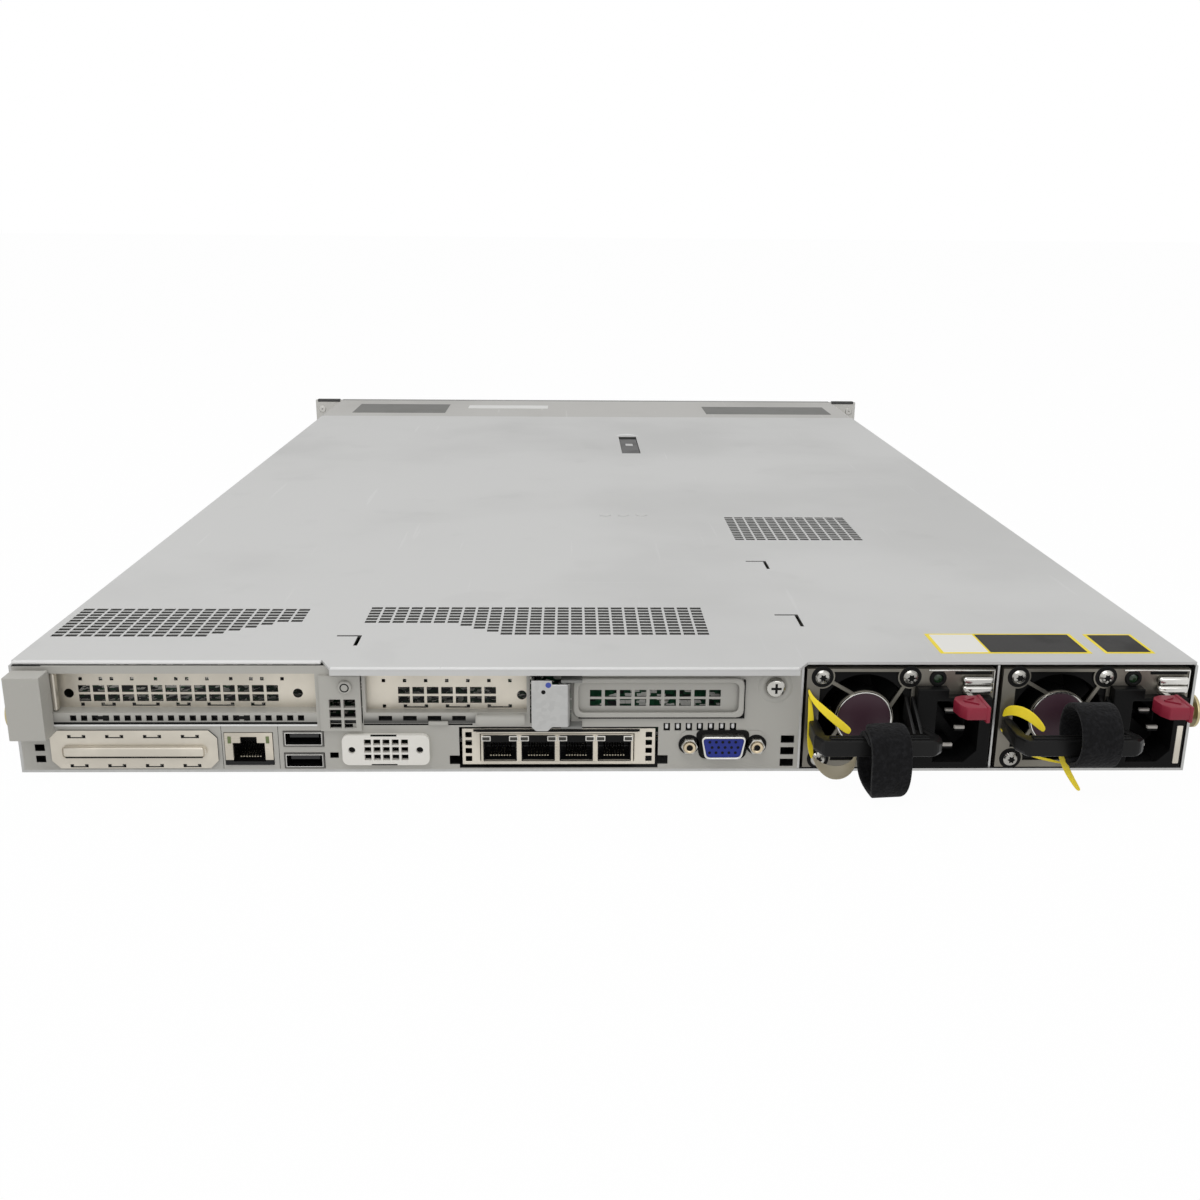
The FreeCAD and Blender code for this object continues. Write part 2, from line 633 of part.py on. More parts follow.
def lower_blank_plate():
    cut = BLANK_CUT
    (x0, x1), (z0, z1) = BLANK_X, BLANK_Z
    outline = [
        (x0 + cut, z0), (x1 - cut, z0), (x1, z0 + cut), (x1, z1 - cut),
        (x1 - cut, z1), (x0 + cut, z1), (x0, z1 - cut), (x0, z0 + cut),
    ]
    start = centred((x0 + x1) / 2, BLANK_TABS, BLANK_TAB_PITCH, BLANK_TAB_W)
    lefts = [start + i * BLANK_TAB_PITCH for i in range(BLANK_TABS)]
    tabs = [staple(u, u + BLANK_TAB_W, v) for u in lefts for v in BLANK_TAB_Z]
    plate = plate_xz(outline, tabs, (REAR - BLANK_T, REAR))
    rib_y = (REAR - BLANK_T - BLANK_RIB_T, REAR - BLANK_T)
    rib = box((x0 + BLANK_RIB_END, x1 - BLANK_RIB_END), rib_y, BLANK_RIB_Z)
    ends = [e for e in rib.Edges if abs(e.tangentAt(e.FirstParameter).y) > 0.9]
    rib = rib.makeFillet(BLANK_RIB_ROUND, ends)
    return join(plate, rib)


def jack_cavity(x, z):
    """The space for a network plug, with its key above; x is the middle and z the bottom."""
    y = (REAR - 1, REAR + JACK_DEPTH)
    plug = box((x - JACK_W / 2, x + JACK_W / 2), y, (z, z + JACK_H))
    key = box((x - JACK_KEY[0] / 2, x + JACK_KEY[0] / 2), y, (z, z + JACK_H + JACK_KEY[1]))
    return join(plug, key)


def network_ports():
    depth = (REAR - PORT_PROUD, REAR + PORT_DEPTH)
    single = box((MGMT_X, MGMT_X + MGMT_W), depth, MGMT_Z)
    single = single.cut(jack_cavity(MGMT_X + MGMT_W / 2, MGMT_Z[0] + MGMT_SILL))
    half = LAN_COUNT * LAN_PITCH / 2
    gang = box((LAN_MIDDLE - half, LAN_MIDDLE + half), depth, LAN_JACK_Z)
    for i in range(LAN_COUNT):
        gang = gang.cut(jack_cavity(LAN_MIDDLE - half + (i + 0.5) * LAN_PITCH, LAN_JACK_Z[0] + LAN_SILL))
    return single, gang


def lan_bracket():
    (x0, x1), (z0, z1) = LAN_X, LAN_Z
    half = LAN_COUNT * LAN_PITCH / 2 + LAN_LAP
    outline = rect((x0 + LAN_EDGE, x1 - LAN_EDGE), (z0 + LAN_EDGE, z1 - LAN_EDGE))
    gang_z = (LAN_JACK_Z[0] - LAN_LAP, LAN_JACK_Z[1] + LAN_LAP)
    holes = [rect((LAN_MIDDLE - half, LAN_MIDDLE + half), gang_z)]
    for x in (x0 + LAN_HOLE_AT, x1 - LAN_HOLE_AT - LAN_HOLE[0]):
        holes += grid((x, z0 + LAN_HOLE_AT), (1, LAN_HOLES), (0, LAN_HOLE_PITCH), LAN_HOLE)
    return plate_xz(outline, holes, (REAR + LAN_Y[0], REAR + LAN_Y[1]))


def usb_ports():
    x = (USB_X, USB_X + USB_W)
    floor = REAR + USB_DEPTH
    shells = box(x, (floor, REAR + PORT_DEPTH), (USB_Z[0], USB_Z[1] + USB_H))
    for low in USB_Z:
        shell = box(x, (REAR - PORT_PROUD, floor), (low, low + USB_H))
        inside_x = (x[0] + USB_WALL, x[1] - USB_WALL)
        inside = box(inside_x, (REAR - PORT_PROUD - 1, floor), (low + USB_WALL, low + USB_H - USB_WALL))
        tongue_z = (low + USB_TONGUE[0], low + USB_TONGUE[1])
        tongue = box((x[0] + USB_SIDE, x[1] - USB_SIDE), (REAR + USB_SET_BACK, floor), tongue_z)
        shells = join(shells, shell.cut(inside), tongue)
    return shells


def serial_holes():
    corner = (SERIAL_X[0] + SERIAL_HOLE_AT[0], SERIAL_Z[0] + SERIAL_HOLE_AT[1])
    return grid(corner, SERIAL_HOLES, SERIAL_HOLE_PITCH, SERIAL_HOLE)


def serial_port_cover():
    y = (REAR - SERIAL_T, REAR)
    cover = box(SERIAL_X, y, SERIAL_Z)
    upright = [e for e in cover.Edges if abs(e.tangentAt(e.FirstParameter).y) > 0.9]
    cover = cover.makeFillet(SERIAL_ROUND, upright)
    for line in serial_holes():
        cover = cover.cut(plate_xz(line, [], y))
    for x in (SERIAL_X[0] + SERIAL_SCREW_IN, SERIAL_X[1] - SERIAL_SCREW_IN):
        place = (x, y[0] - 1, (SERIAL_Z[0] + SERIAL_Z[1]) / 2)
        cover = cover.cut(rod(place, SERIAL_SCREW_R, SERIAL_T + 2, (0, 1, 0)))
    return cover


def trapezium(width, height, slant):
    return [
        (VIDEO_X - width / 2 + slant, VIDEO_Z - height / 2),
        (VIDEO_X + width / 2 - slant, VIDEO_Z - height / 2),
        (VIDEO_X + width / 2, VIDEO_Z + height / 2),
        (VIDEO_X - width / 2, VIDEO_Z + height / 2),
    ]


def video_port():
    """Flange, D-shaped shell and hexagonal standoffs, then the insulator with its contact holes."""
    wide, high = VIDEO_FLANGE
    back = REAR - VIDEO_OUT
    flange_x = (VIDEO_X - wide / 2, VIDEO_X + wide / 2)
    flange = box(flange_x, (REAR - VIDEO_FLANGE_T, REAR), (VIDEO_Z - high / 2, VIDEO_Z + high / 2))
    tube = plate_xz(trapezium(*VIDEO_SHELL, VIDEO_SLANT), [], (back, REAR + SHEET))
    places = [VIDEO_X + side * STANDOFF_PITCH / 2 for side in (-1, 1)]
    posts = [plate_xz(hexagon(x, VIDEO_Z, STANDOFF_R), [], (back, REAR)) for x in places]
    shell = join(flange, tube, *posts)
    inner = trapezium(VIDEO_SHELL[0] - 2 * VIDEO_WALL, VIDEO_SHELL[1] - 2 * VIDEO_WALL, VIDEO_SLANT)
    shell = shell.cut(plate_xz(inner, [], (back - 1, REAR + SHEET + 1)))
    for x in places:
        shell = shell.cut(rod((x, back - 1, VIDEO_Z), STANDOFF_HOLE_R, VIDEO_OUT, (0, 1, 0)))
    core = plate_xz(inner, [], (back + VIDEO_SET_BACK, REAR + PORT_DEPTH))
    columns, rows = CONTACT_HOLES
    for row in range(rows):
        shift = CONTACT_STAGGER if row == rows // 2 else 0
        z = VIDEO_Z + (row - (rows - 1) / 2) * CONTACT_HOLE_PITCH[1]
        for i in range(columns):
            x = VIDEO_X + (i - (columns - 1) / 2) * CONTACT_HOLE_PITCH[0] + shift
            core = core.cut(rod((x, back, z), CONTACT_HOLE_R, CONTACT_HOLE_DEPTH, (0, 1, 0)))
    return shell, core


def pan_head(x, y, z, radius, height):
    """A domed screw head whose seat is at y, facing the rear."""
    head = rod((x, y - height, z), radius, height, (0, 1, 0))
    rim = [e for e in head.Edges if abs(e.CenterOfMass.y - (y - height)) < 0.01 and len(e.Vertexes) == 1]
    return head.makeFillet(height * DOME, rim)


def panel_screws():
    return (
        pan_head(SCREW_X, REAR, SCREW_Z, SCREW_R, SCREW_H),
        pan_head(RIVET_X, REAR - BLOCK_T, RIVET_Z, RIVET_R, RIVET_H),
    )


# Retaining latches at the rear, each on a vertical pin
LATCH_X0 = LEFT + LATCH_IN
LATCH_AXIS_X = LATCH_X0 + LATCH_AXIS_IN
CLIP_AXIS_X = CLIP_X[1] - CLIP_AXIS_IN
AXIS_Y = REAR - HINGE_OUT


def hinge_mount(axis_x, plate_x, z):
    """A pin held by a plate at each end; the plates stand on the rear panel."""
    pin = rod((axis_x, AXIS_Y, z[0]), PIN_R, z[1] - z[0], (0, 0, 1))
    reach = (AXIS_Y - PIN_R - RUN, REAR)
    low = box(plate_x, reach, (z[0] - EAR_PLATE, z[0]))
    high = box(plate_x, reach, (z[1], z[1] + EAR_PLATE))
    return join(pin, low, high)


LATCH_PIN_Z = (LATCH_Z[0] + LATCH_EARS[0], LATCH_Z[1] - LATCH_EARS[1])
CLIP_PIN_Z = (CLIP_Z[0] - FIT, CLIP_Z[1] + FIT)


def latch_hinges():
    left = hinge_mount(LATCH_AXIS_X, (LATCH_AXIS_X - PLATE_LAP, LATCH_AXIS_X + LATCH_PLATE), LATCH_PIN_Z)
    middle = hinge_mount(CLIP_AXIS_X, (CLIP_AXIS_X - PLATE_LAP, OPEN_RIGHT + CLIP_PLATE), CLIP_PIN_Z)
    return left, middle


def sleeve(axis_x, z):
    outer = rod((axis_x, AXIS_Y, z[0]), SLEEVE_R, z[1] - z[0], (0, 0, 1))
    return outer, rod((axis_x, AXIS_Y, z[0]), PIN_R + RUN, z[1] - z[0], (0, 0, 1))


def slot_latch_left():
    x = (LATCH_X0, LATCH_X0 + LATCH_W)
    back = REAR - LATCH_BACK
    face = box(x, (REAR - LATCH_OUT, REAR - LATCH_OUT + SHEET), LATCH_Z)
    left = box((x[0], x[0] + SHEET), (REAR - LATCH_OUT, AXIS_Y - SLEEVE_R), LATCH_Z)
    between = (LATCH_PIN_Z[0] + FIT, LATCH_PIN_Z[1] - FIT)
    web = box((x[0], x[0] + SHEET), (AXIS_Y - SLEEVE_R, back), between)
    right = box((x[1] - SHEET, x[1]), (REAR - LATCH_OUT, back), LATCH_Z)
    foot = box(x, (REAR - LATCH_OUT, AXIS_Y - SLEEVE_R - SHEET), (LATCH_Z[0], LATCH_Z[0] + SHEET))
    roof = box(x, (REAR - LATCH_OUT, back), (LATCH_Z[1] - SHEET, LATCH_Z[1]))
    outer, bore = sleeve(LATCH_AXIS_X, between)
    return join(face, left, web, right, foot, roof, outer).cut(bore)


def slot_latch_mid():
    y = (REAR - CLIP_OUT, REAR - CLIP_OUT + SHEET)
    (x0, x1), (z0, z1) = CLIP_X, CLIP_Z
    split = x0 + CLIP_STEP_W
    low, high = z0 - CLIP_STEP, z1 + CLIP_STEP
    outline = [
        (x0 + CLIP_STEP, low), (split - CLIP_STEP, low), (split, z0), (x1, z0), (x1, z1),
        (split, z1), (split, high), (x0, high), (x0, z0),
    ]
    face = plate_xz(outline, [], y)
    side = box((x0, x0 + SHEET), (y[0], REAR - CLIP_BACK), (z0 + CLIP_STEP, high))
    outer, bore = sleeve(CLIP_AXIS_X, (CLIP_PIN_Z[0] + FIT, CLIP_PIN_Z[1] - FIT))
    return join(face, side, outer).cut(bore)


# Cover, its perforations, and the lever that draws it back
def stair(corner, counts, steps, rising):
    """Vent holes in columns; near one end the rows nearest the rear drop away one by one."""
    found = []
    for i in range(counts[0]):
        place = i if rising else counts[0] - 1 - i
        missing = min(steps[0], max(0, steps[1] - place))
        for k in range(missing, counts[1]):
            u = corner[0] + i * HOLE_PITCH[0]
            v = corner[1] + k * HOLE_PITCH[1]
            found.append(rect((u, u + HOLE[0]), (v, v + HOLE[1])))
    return found


def lance(x, y, along):
    """An L-shaped slit that frees a small tongue."""
    end = x + LANCE_W
    return [
        (x, y), (end, y), (end, y - along), (end - LANCE, y - along),
        (end - LANCE, y - LANCE), (x, y - LANCE),
    ]


def top_cover():
    rear_left = REAR + COVER_LEFT_IN
    rear_lip = REAR - COVER_LIP_OUT
    rear_right = REAR + COVER_RIGHT_IN
    front = REAR + COVER_D
    a, b = COVER_STEP_X
    outline = [
        (LEFT, rear_left), (a - COVER_CORNER, rear_left), (a, rear_lip), (b, rear_lip),
        (b + COVER_CORNER, rear_right), (RIGHT, rear_right), (RIGHT, front), (LEFT, front),
    ]
    holes = stair((LEFT + VENT_L_AT[0], REAR + VENT_L_AT[1]), VENT_L, STAIR_L, False)
    holes += stair((VENT_M_AT[0], REAR + VENT_M_AT[1]), VENT_M, STAIR_M, True)
    holes += grid((VENT_R_AT[0], REAR + VENT_R_AT[1]), VENT_R, HOLE_PITCH, HOLE)
    holes += [lance(x, REAR + y, along) for x, y, along in LANCES]
    wall = RECESS_WALL
    recess_y = (REAR + RECESS_Y[0] + wall, REAR + RECESS_Y[1] - wall)
    holes.append(rect((RECESS_X[0] + wall, RECESS_X[1] - wall), recess_y))
    top = plate_xy(outline, holes, (WALL_TOP, CHASSIS_H))
    lip = box((a, b), (rear_lip, rear_lip + SHEET), (CHASSIS_H - COVER_LIP, WALL_TOP))
    flange_y = (REAR + BAY_D + COVER_FLANGE_ENDS[0], front - COVER_FLANGE_ENDS[1])
    flange_z = (WALL_TOP - COVER_FLANGE, WALL_TOP)
    flanges = [
        box((IN_LEFT + FIT, IN_LEFT + FIT + SHEET), flange_y, flange_z),
        box((IN_RIGHT - FIT - SHEET, IN_RIGHT - FIT), flange_y, flange_z),
    ]
    return join(top, lip, *flanges)


LEVER_AXIS_Y = REAR + RECESS_Y[0] + RECESS_WALL + SLEEVE_R + LEVER_END_GAP
LEVER_AXIS_Z = WALL_TOP - RECESS_DEPTH + RECESS_WALL + SLEEVE_R + LEVER_FLOOR_GAP


def cover_latch_tray():
    x, wall = RECESS_X, RECESS_WALL
    y = (REAR + RECESS_Y[0], REAR + RECESS_Y[1])
    tray = box(x, y, (WALL_TOP - RECESS_DEPTH, WALL_TOP))
    inside = box(
        (x[0] + wall, x[1] - wall), (y[0] + wall, y[1] - wall), (WALL_TOP - RECESS_DEPTH + wall, WALL_TOP)
    )
    pin = rod((x[0] + wall / 2, LEVER_AXIS_Y, LEVER_AXIS_Z), PIN_R, x[1] - x[0] - wall, (1, 0, 0))
    return join(tray.cut(inside), pin)


def cover_latch():
    gap = RECESS_WALL + FIT
    x = (RECESS_X[0] + gap, RECESS_X[1] - gap)
    top = CHASSIS_H - LEVER_DROP
    front = REAR + RECESS_Y[1] - RECESS_WALL - FINGER_GAP
    plate = box(x, (LEVER_AXIS_Y, front), (top - LEVER_T, top))
    knuckle = rod((x[0], LEVER_AXIS_Y, LEVER_AXIS_Z), SLEEVE_R, x[1] - x[0], (1, 0, 0))
    bore = rod((x[0], LEVER_AXIS_Y, LEVER_AXIS_Z), PIN_R + RUN, x[1] - x[0], (1, 0, 0))
    return join(plate, knuckle).cut(bore)


# Fans: a square frame with a fixed shaft, and a rotor that turns on it
def fan_frame(x, y, z, size):
    """x and z are the axis, y is the end that faces the rear."""
    half, bore_r = size / 2, size / 2 - FAN_RIM
    body = box((x - half, x + half), (y, y + FAN_D), (z - half, z + half))
    body = body.cut(rod((x, y, z), bore_r, FAN_D, (0, 1, 0)))
    end = (y + FAN_D - FAN_STRUT, y + FAN_D)
    reach = bore_r + FAN_RIM / 2
    across = box((x - reach, x + reach), end, (z - FAN_STRUT / 2, z + FAN_STRUT / 2))
    upright = box((x - FAN_STRUT / 2, x + FAN_STRUT / 2), end, (z - reach, z + reach))
    hub = rod((x, end[0], z), FAN_HUB_R, FAN_STRUT, (0, 1, 0))
    shaft = rod((x, y + 2 * ROTOR_START, z), SHAFT_R, FAN_D - 2 * ROTOR_START - FAN_STRUT, (0, 1, 0))
    return join(body, across, upright, hub, shaft)


def fan_rotor(x, y, z, size):
    length = FAN_D - ROTOR_START - 2 * FAN_STRUT
    tip = size / 2 - FAN_RIM - FAN_TIP_GAP
    rotor = rod((0, ROTOR_START, 0), FAN_HUB_R, length, (0, 1, 0))
    rim = rod((0, ROTOR_START, 0), tip, length, (0, 1, 0))
    chord = length * BLADE_CHORD
    middle = ROTOR_START + length / 2
    y_span = (middle - chord / 2, middle + chord / 2)
    for i in range(FAN_BLADES):
        blade = box((FAN_HUB_R - BLADE_ROOT, size / 2), y_span, (-BLADE_T / 2, BLADE_T / 2))
        blade.rotate(V(0, middle, 0), V(1, 0, 0), BLADE_PITCH_ANGLE)
        blade.rotate(V(0, 0, 0), V(0, 1, 0), i * 360 / FAN_BLADES)
        rotor = rotor.fuse(blade.common(rim))
    bore = rod((0, ROTOR_START + ROTOR_CAP, 0), SHAFT_R + RUN, length, (0, 1, 0))
    rotor = rotor.cut(bore)
    rotor.translate(V(x, y, z))
    return rotor


FAN_ROW_X = [(i - (FAN_COUNT - 1) / 2) * FAN_ROW_PITCH for i in range(FAN_COUNT)]
FAN_ROW_Z = SHEET + FAN / 2


# Power supply pieces; x is the supply's left edge
def fan_window(x):
    """What is cut from the face in front of the fan: a square less its corners, guard hub and spokes."""
    cx, cz = x + FAN_X, PSU_Z + FAN_Z
    y = (REAR - 1, REAR + PSU_SKIN + 1)
    z = (cz - GUARD_HALF, cz + GUARD_HALF + GUARD_RISE)
    window = box((cx - GUARD_HALF, cx + GUARD_HALF), y, z)
    window = window.cut(rod((cx, y[0], cz), GUARD_HUB_R, PSU_SKIN + 2, (0, 1, 0)))
    half = FAN_SCREW_PITCH / 2
    for corner in (45, 135, 225, 315):
        a = math.radians(corner)
        boss_x = cx + math.copysign(half, math.cos(a))
        boss_z = cz + math.copysign(half, math.sin(a))
        window = window.cut(rod((boss_x, y[0], boss_z), GUARD_BOSS_R, PSU_SKIN + 2, (0, 1, 0)))
        b = math.radians(corner - GUARD_SWIRL)
        hub_x = cx + (GUARD_HUB_R - 1) * math.cos(b)
        hub_z = cz + (GUARD_HUB_R - 1) * math.sin(b)
        reach = math.hypot(boss_x - hub_x, boss_z - hub_z)
        spoke = box((0, reach), y, (-GUARD_SPOKE / 2, GUARD_SPOKE / 2))
        spoke.rotate(V(0, 0, 0), V(0, 1, 0), -math.degrees(math.atan2(boss_z - hub_z, boss_x - hub_x)))
        spoke.translate(V(hub_x, 0, hub_z))
        window = window.cut(spoke)
    return window


def psu_case(x):
    skin = PSU_SKIN
    y = (REAR, REAR + PSU_D)
    z = (PSU_Z, PSU_Z + PSU_H)
    case = box((x, x + PSU_W), y, z)
    inside = box((x + skin, x + PSU_W - skin), (y[0] + skin, y[1] - skin), (z[0] + skin, z[1] - skin))
    case = case.cut(inside).cut(fan_window(x))
    case = case.cut(inlet_outline(x, INLET_GAP, (REAR - 1, REAR + skin + 1)))
    case = case.cut(rod((x + LED_X, REAR - 1, z[1] - LED_DROP), LED_R, skin + 2, (0, 1, 0)))
    slot_x = (x + EDGE_X[0] - EDGE_GAP, x + EDGE_X[1] + EDGE_GAP)
    slot_z = (PSU_BOARD_Z[0] - EDGE_GAP, PSU_BOARD_Z[1] + EDGE_GAP)
    return case.cut(box(slot_x, (y[1] - skin - 1, y[1] + 1), slot_z))


def inlet_outline(x, grow, y):
    left = x + INLET_X - grow
    right = x + INLET_X + INLET_W + grow
    low = PSU_Z + INLET_Z - grow
    main = box((left, right), y, (low, PSU_Z + INLET_Z + INLET_H + grow))
    ear_top = PSU_Z + INLET_Z + INLET_H + INLET_EAR[1] + grow
    ear = box((left, x + INLET_X + INLET_EAR[0] + grow), y, (low, ear_top))
    return join(main, ear)


def psu_inlet(x):
    """The inlet block with its upright socket, and three contact blades."""
    y = (REAR - INLET_OUT, REAR + INLET_DEPTH)
    block = inlet_outline(x, 0, y)
    x0 = x + INLET_X + SOCKET_X
    x1 = x0 + SOCKET_W
    middle = PSU_Z + INLET_Z + INLET_H / 2 + SOCKET_RISE
    z0, z1 = middle - SOCKET_H / 2, middle + SOCKET_H / 2
    cut = SOCKET_CHAMFER
    outline = [(x0, z0), (x1 - cut, z0), (x1, z0 + cut), (x1, z1 - cut), (x1 - cut, z1), (x0, z1)]
    floor = REAR - INLET_OUT + SOCKET_DEPTH
    block = block.cut(plate_xz(outline, [], (y[0] - 1, floor)))
    blades = []
    half_w, half_t = CONTACT[1] / 2, CONTACT[0] / 2
    for side, level in ((-1, 1), (1, 0), (-1, -1)):
        bx = (x0 + x1) / 2 + side * CONTACT_OFFSET / 2
        bz = middle + level * CONTACT_PITCH / 2
        blade_z = (bz - half_t, bz + half_t)
        blades.append(box((bx - half_w, bx + half_w), (floor - CONTACT_LENGTH, floor), blade_z))
    return (block, *blades)


def psu_handle(x):
    """A fixed bow: one bar in front of the fan, on two arms that stand on the face."""
    left, right = x + HANDLE_X[0], x + HANDLE_X[1]
    front = REAR - HANDLE_OUT
    back = front + HANDLE_BAR
    foot = (x + HANDLE_FOOT[0], x + HANDLE_FOOT[1])
    elbow = REAR - INLET_OUT - HANDLE_CLEAR
    arm, cut = HANDLE_ARM, HANDLE_CUT
    inner = left + HANDLE_LEAN + arm
    outline = [
        (left + HANDLE_LEAN, REAR), (left, back), (left + cut, front), (right - cut, front),
        (right, front + cut), (right, back), (foot[1], elbow), (foot[1], REAR), (foot[0], REAR),
        (foot[0], elbow - HANDLE_CLEAR), (right - arm - HANDLE_LEAN, back), (inner, back), (inner, REAR),
    ]
    z = (PSU_Z + HANDLE_Z, PSU_Z + HANDLE_Z + HANDLE_BAR)
    return plate_xy(outline, [], z)


def psu_release(x):
    """The thumb tab, and the leaf spring that holds it."""
    z = (PSU_Z + TAB_Z, PSU_Z + TAB_Z + TAB_H)
    tab = box((x + TAB_X, x + TAB_X + TAB_W), (REAR - TAB_OUT[1], REAR - TAB_OUT[0]), z)
    leaf_y = (REAR - FIT - SPRING_T, REAR - FIT)
    leaf = box(
        (x + SPRING_X[0], x + SPRING_X[1]), leaf_y, (PSU_Z + SPRING_Z[0], PSU_Z + SPRING_Z[1])
    )
    finger_x = (x + SPRING_X[0], x + SPRING_X[0] + FINGER_W)
    finger = box(finger_x, (REAR - TAB_OUT[0], leaf_y[0]), (PSU_Z + SPRING_Z[0], PSU_Z + TAB_Z + TAB_H))
    return tab, join(leaf, finger)


def hanging_strap(x):
    """A loop of band that hangs from the bar to just above the floor."""
    bar_top = PSU_Z + HANDLE_Z + HANDLE_BAR
    front = REAR - HANDLE_OUT
    outer_y = (front - HANG_OUT, front + HANDLE_BAR + HANG_BACK)
    outer_z = (HANG_FLOOR, bar_top + FIT + STRAP_T + HANG_CROWN)
    width = (x + HANG_X, x + HANG_X + STRAP_W)
    outer = box(width, outer_y, outer_z)
    along = [e for e in outer.Edges if abs(e.tangentAt(e.FirstParameter).x) > 0.9]
    outer = outer.makeFillet(HANG_ROUND[0], along)
    inner = box(width, (outer_y[0] + STRAP_T, outer_y[1] - STRAP_T), (outer_z[0] + STRAP_T, bar_top + FIT))
    along = [e for e in inner.Edges if abs(e.tangentAt(e.FirstParameter).x) > 0.9]
    return outer.cut(inner.makeFillet(HANG_ROUND[1], along))


def rolled_strap(x):
    """A ring of band around the bar, which lies in the lower part of the ring."""
    inner = ROLL_R - STRAP_T
    y = REAR - HANDLE_OUT + HANDLE_BAR / 2 - ROLL_SHIFT
    drop = math.sqrt((inner - FIT) ** 2 - (HANDLE_BAR / 2 + ROLL_SHIFT) ** 2)
    z = PSU_Z + HANDLE_Z + drop
    ring = rod((x + ROLL_X, y, z), ROLL_R, STRAP_W, (1, 0, 0))
    return ring.cut(rod((x + ROLL_X, y, z), inner, STRAP_W, (1, 0, 0)))


def psu_board(x):
    """The converter board; its edge passes out of the case to the system board's socket."""
    z = PSU_BOARD_Z
    y = (REAR + PSU_BOARD_Y, REAR + PSU_D)
    sides = (x + PSU_BOARD_SIDE, x + PSU_W - PSU_BOARD_SIDE)
    board = box(sides, (y[0], y[1] - PSU_SKIN - EDGE_GAP), z)
    edge = box((x + EDGE_X[0], x + EDGE_X[1]), (y[0], y[1] + EDGE_OUT), z)
    raised = []
    for (x0, x1), (y0, y1), high in (COIL, STORE):
        raised.append(box((x + x0, x + x1), (y[0] + y0, y[0] + y1), (z[1], z[1] + high)))
    for u in (sides[0], sides[1] - PSU_POST):
        raised.append(box((u, u + PSU_POST), (y[0], y[0] + PSU_POST), (PSU_Z + PSU_SKIN, z[0])))
    return join(board, edge, *raised)


# Boards and what stands on them
def psu_bay_walls():
    z = (SHEET, PANEL_TOP)
    left = box((BAY_X, BAY_X + SHEET), (REAR, REAR + BAY_D), z)
    split = PSU_X[1] - PSU_BAY_GAP - SHEET
    return left, box((split, split + SHEET), (REAR + SHEET, REAR + BAY_D), z)


def system_board():
    side_l = IN_LEFT + BOARD_SIDE
    side_r = IN_RIGHT - BOARD_SIDE
    rear = REAR + PORT_DEPTH
    bay = REAR + BAY_D + BOARD_BAY_GAP
    corner = BAY_X - BOARD_SIDE
    outline = [
        (side_l, rear), (corner, rear), (corner, bay), (side_r, bay),
        (side_r, REAR + BOARD_FRONT), (side_l, REAR + BOARD_FRONT),
    ]
    board = plate_xy(outline, [], (BOARD_Z, BOARD_Z + BOARD_T))
    z = (PSU_BOARD_Z[0] - FIT, PSU_BOARD_Z[1] + FIT)
    for x in PSU_X:
        x0, x1 = x + EDGE_X[0], x + EDGE_X[1]
        body_y = (bay, REAR + PSU_D + EDGE_OUT + MATE_WALL)
        body = box((x0 - MATE_WALL, x1 + MATE_WALL), body_y, (BOARD_Z + BOARD_T, z[1] + MATE_ROOF))
        slot = box((x0 - FIT, x1 + FIT), (bay - 1, REAR + PSU_D + EDGE_OUT + FIT), z)
        board = join(board.cut(slot), body.cut(slot))
    return board


BOARD_TOP = BOARD_Z + BOARD_T
INNER_TOP = WALL_TOP - COVER_FLANGE


def bank_starts():
    """Left edge of each bank of memory; a bank lies on each side of both processors."""
    bank = DIMM_BANK * DIMM_PITCH
    for side in (-1, 1):
        yield side * SINK_X - SINK_W / 2 - BANK_GAP - bank
        yield side * SINK_X + SINK_W / 2 + BANK_GAP


def memory():
    sockets, modules = [], []
    y = DIMM_Y
    for start in bank_starts():
        for i in range(DIMM_BANK):
            x = start + (i + 0.5) * DIMM_PITCH
            half = DIMM_SOCKET[0] / 2
            z = (BOARD_TOP, BOARD_TOP + DIMM_SOCKET[1])
            socket = box((x - half, x + half), (REAR + y[0] - DIMM_END, REAR + y[1] + DIMM_END), z)
            card_z = (z[0] + DIMM_SEAT, INNER_TOP)
            card = box((x - DIMM_T / 2, x + DIMM_T / 2), (REAR + y[0], REAR + y[1]), card_z)
            sockets.append(socket.cut(card))
            modules.append(card)
    return sockets, modules


def heat_sinks():
    sinks = []
    fins = int(SINK_W // SINK_PITCH)
    step = (SINK_W - SINK_FIN) / fins
    seat = BOARD_TOP + PROCESSOR_T
    y = (REAR + SINK_Y[0], REAR + SINK_Y[1])
    inset_x, inset_y = PROCESSOR_IN
    for side in (-1, 1):
        x0 = side * SINK_X - SINK_W / 2
        base = box((x0, x0 + SINK_W), y, (seat, seat + SINK_BASE))
        processor_x = (x0 + inset_x, x0 + SINK_W - inset_x)
        processor = box(processor_x, (y[0] + inset_y, y[1] - inset_y), (BOARD_TOP, seat))
        starts = [x0 + i * step for i in range(fins + 1)]
        blades = [box((u, u + SINK_FIN), y, (seat + SINK_BASE, INNER_TOP)) for u in starts]
        sinks.append(join(base, processor, *blades))
    return sinks


def riser_cards():
    y = (REAR + RISER_CARD_Y, REAR + RISER_D)
    z = (BOARD_TOP, PANEL_TOP - RISER_CARD_DROP)
    starts = [edge + RISER_CARD_GAP for edge in (RISER_1[1], RISER_2[1])]
    return [box((x, x + BOARD_T), y, z) for x in starts]


# Drives at the front
CAGE_Y = (FRONT - CAGE_D, FRONT)
BAY_W = (CAGE_X[1] - CAGE_X[0] - SHEET) / BAY_COLUMNS
BAY_H = (PANEL_TOP - SHEET - SHEET) / BAY_ROWS


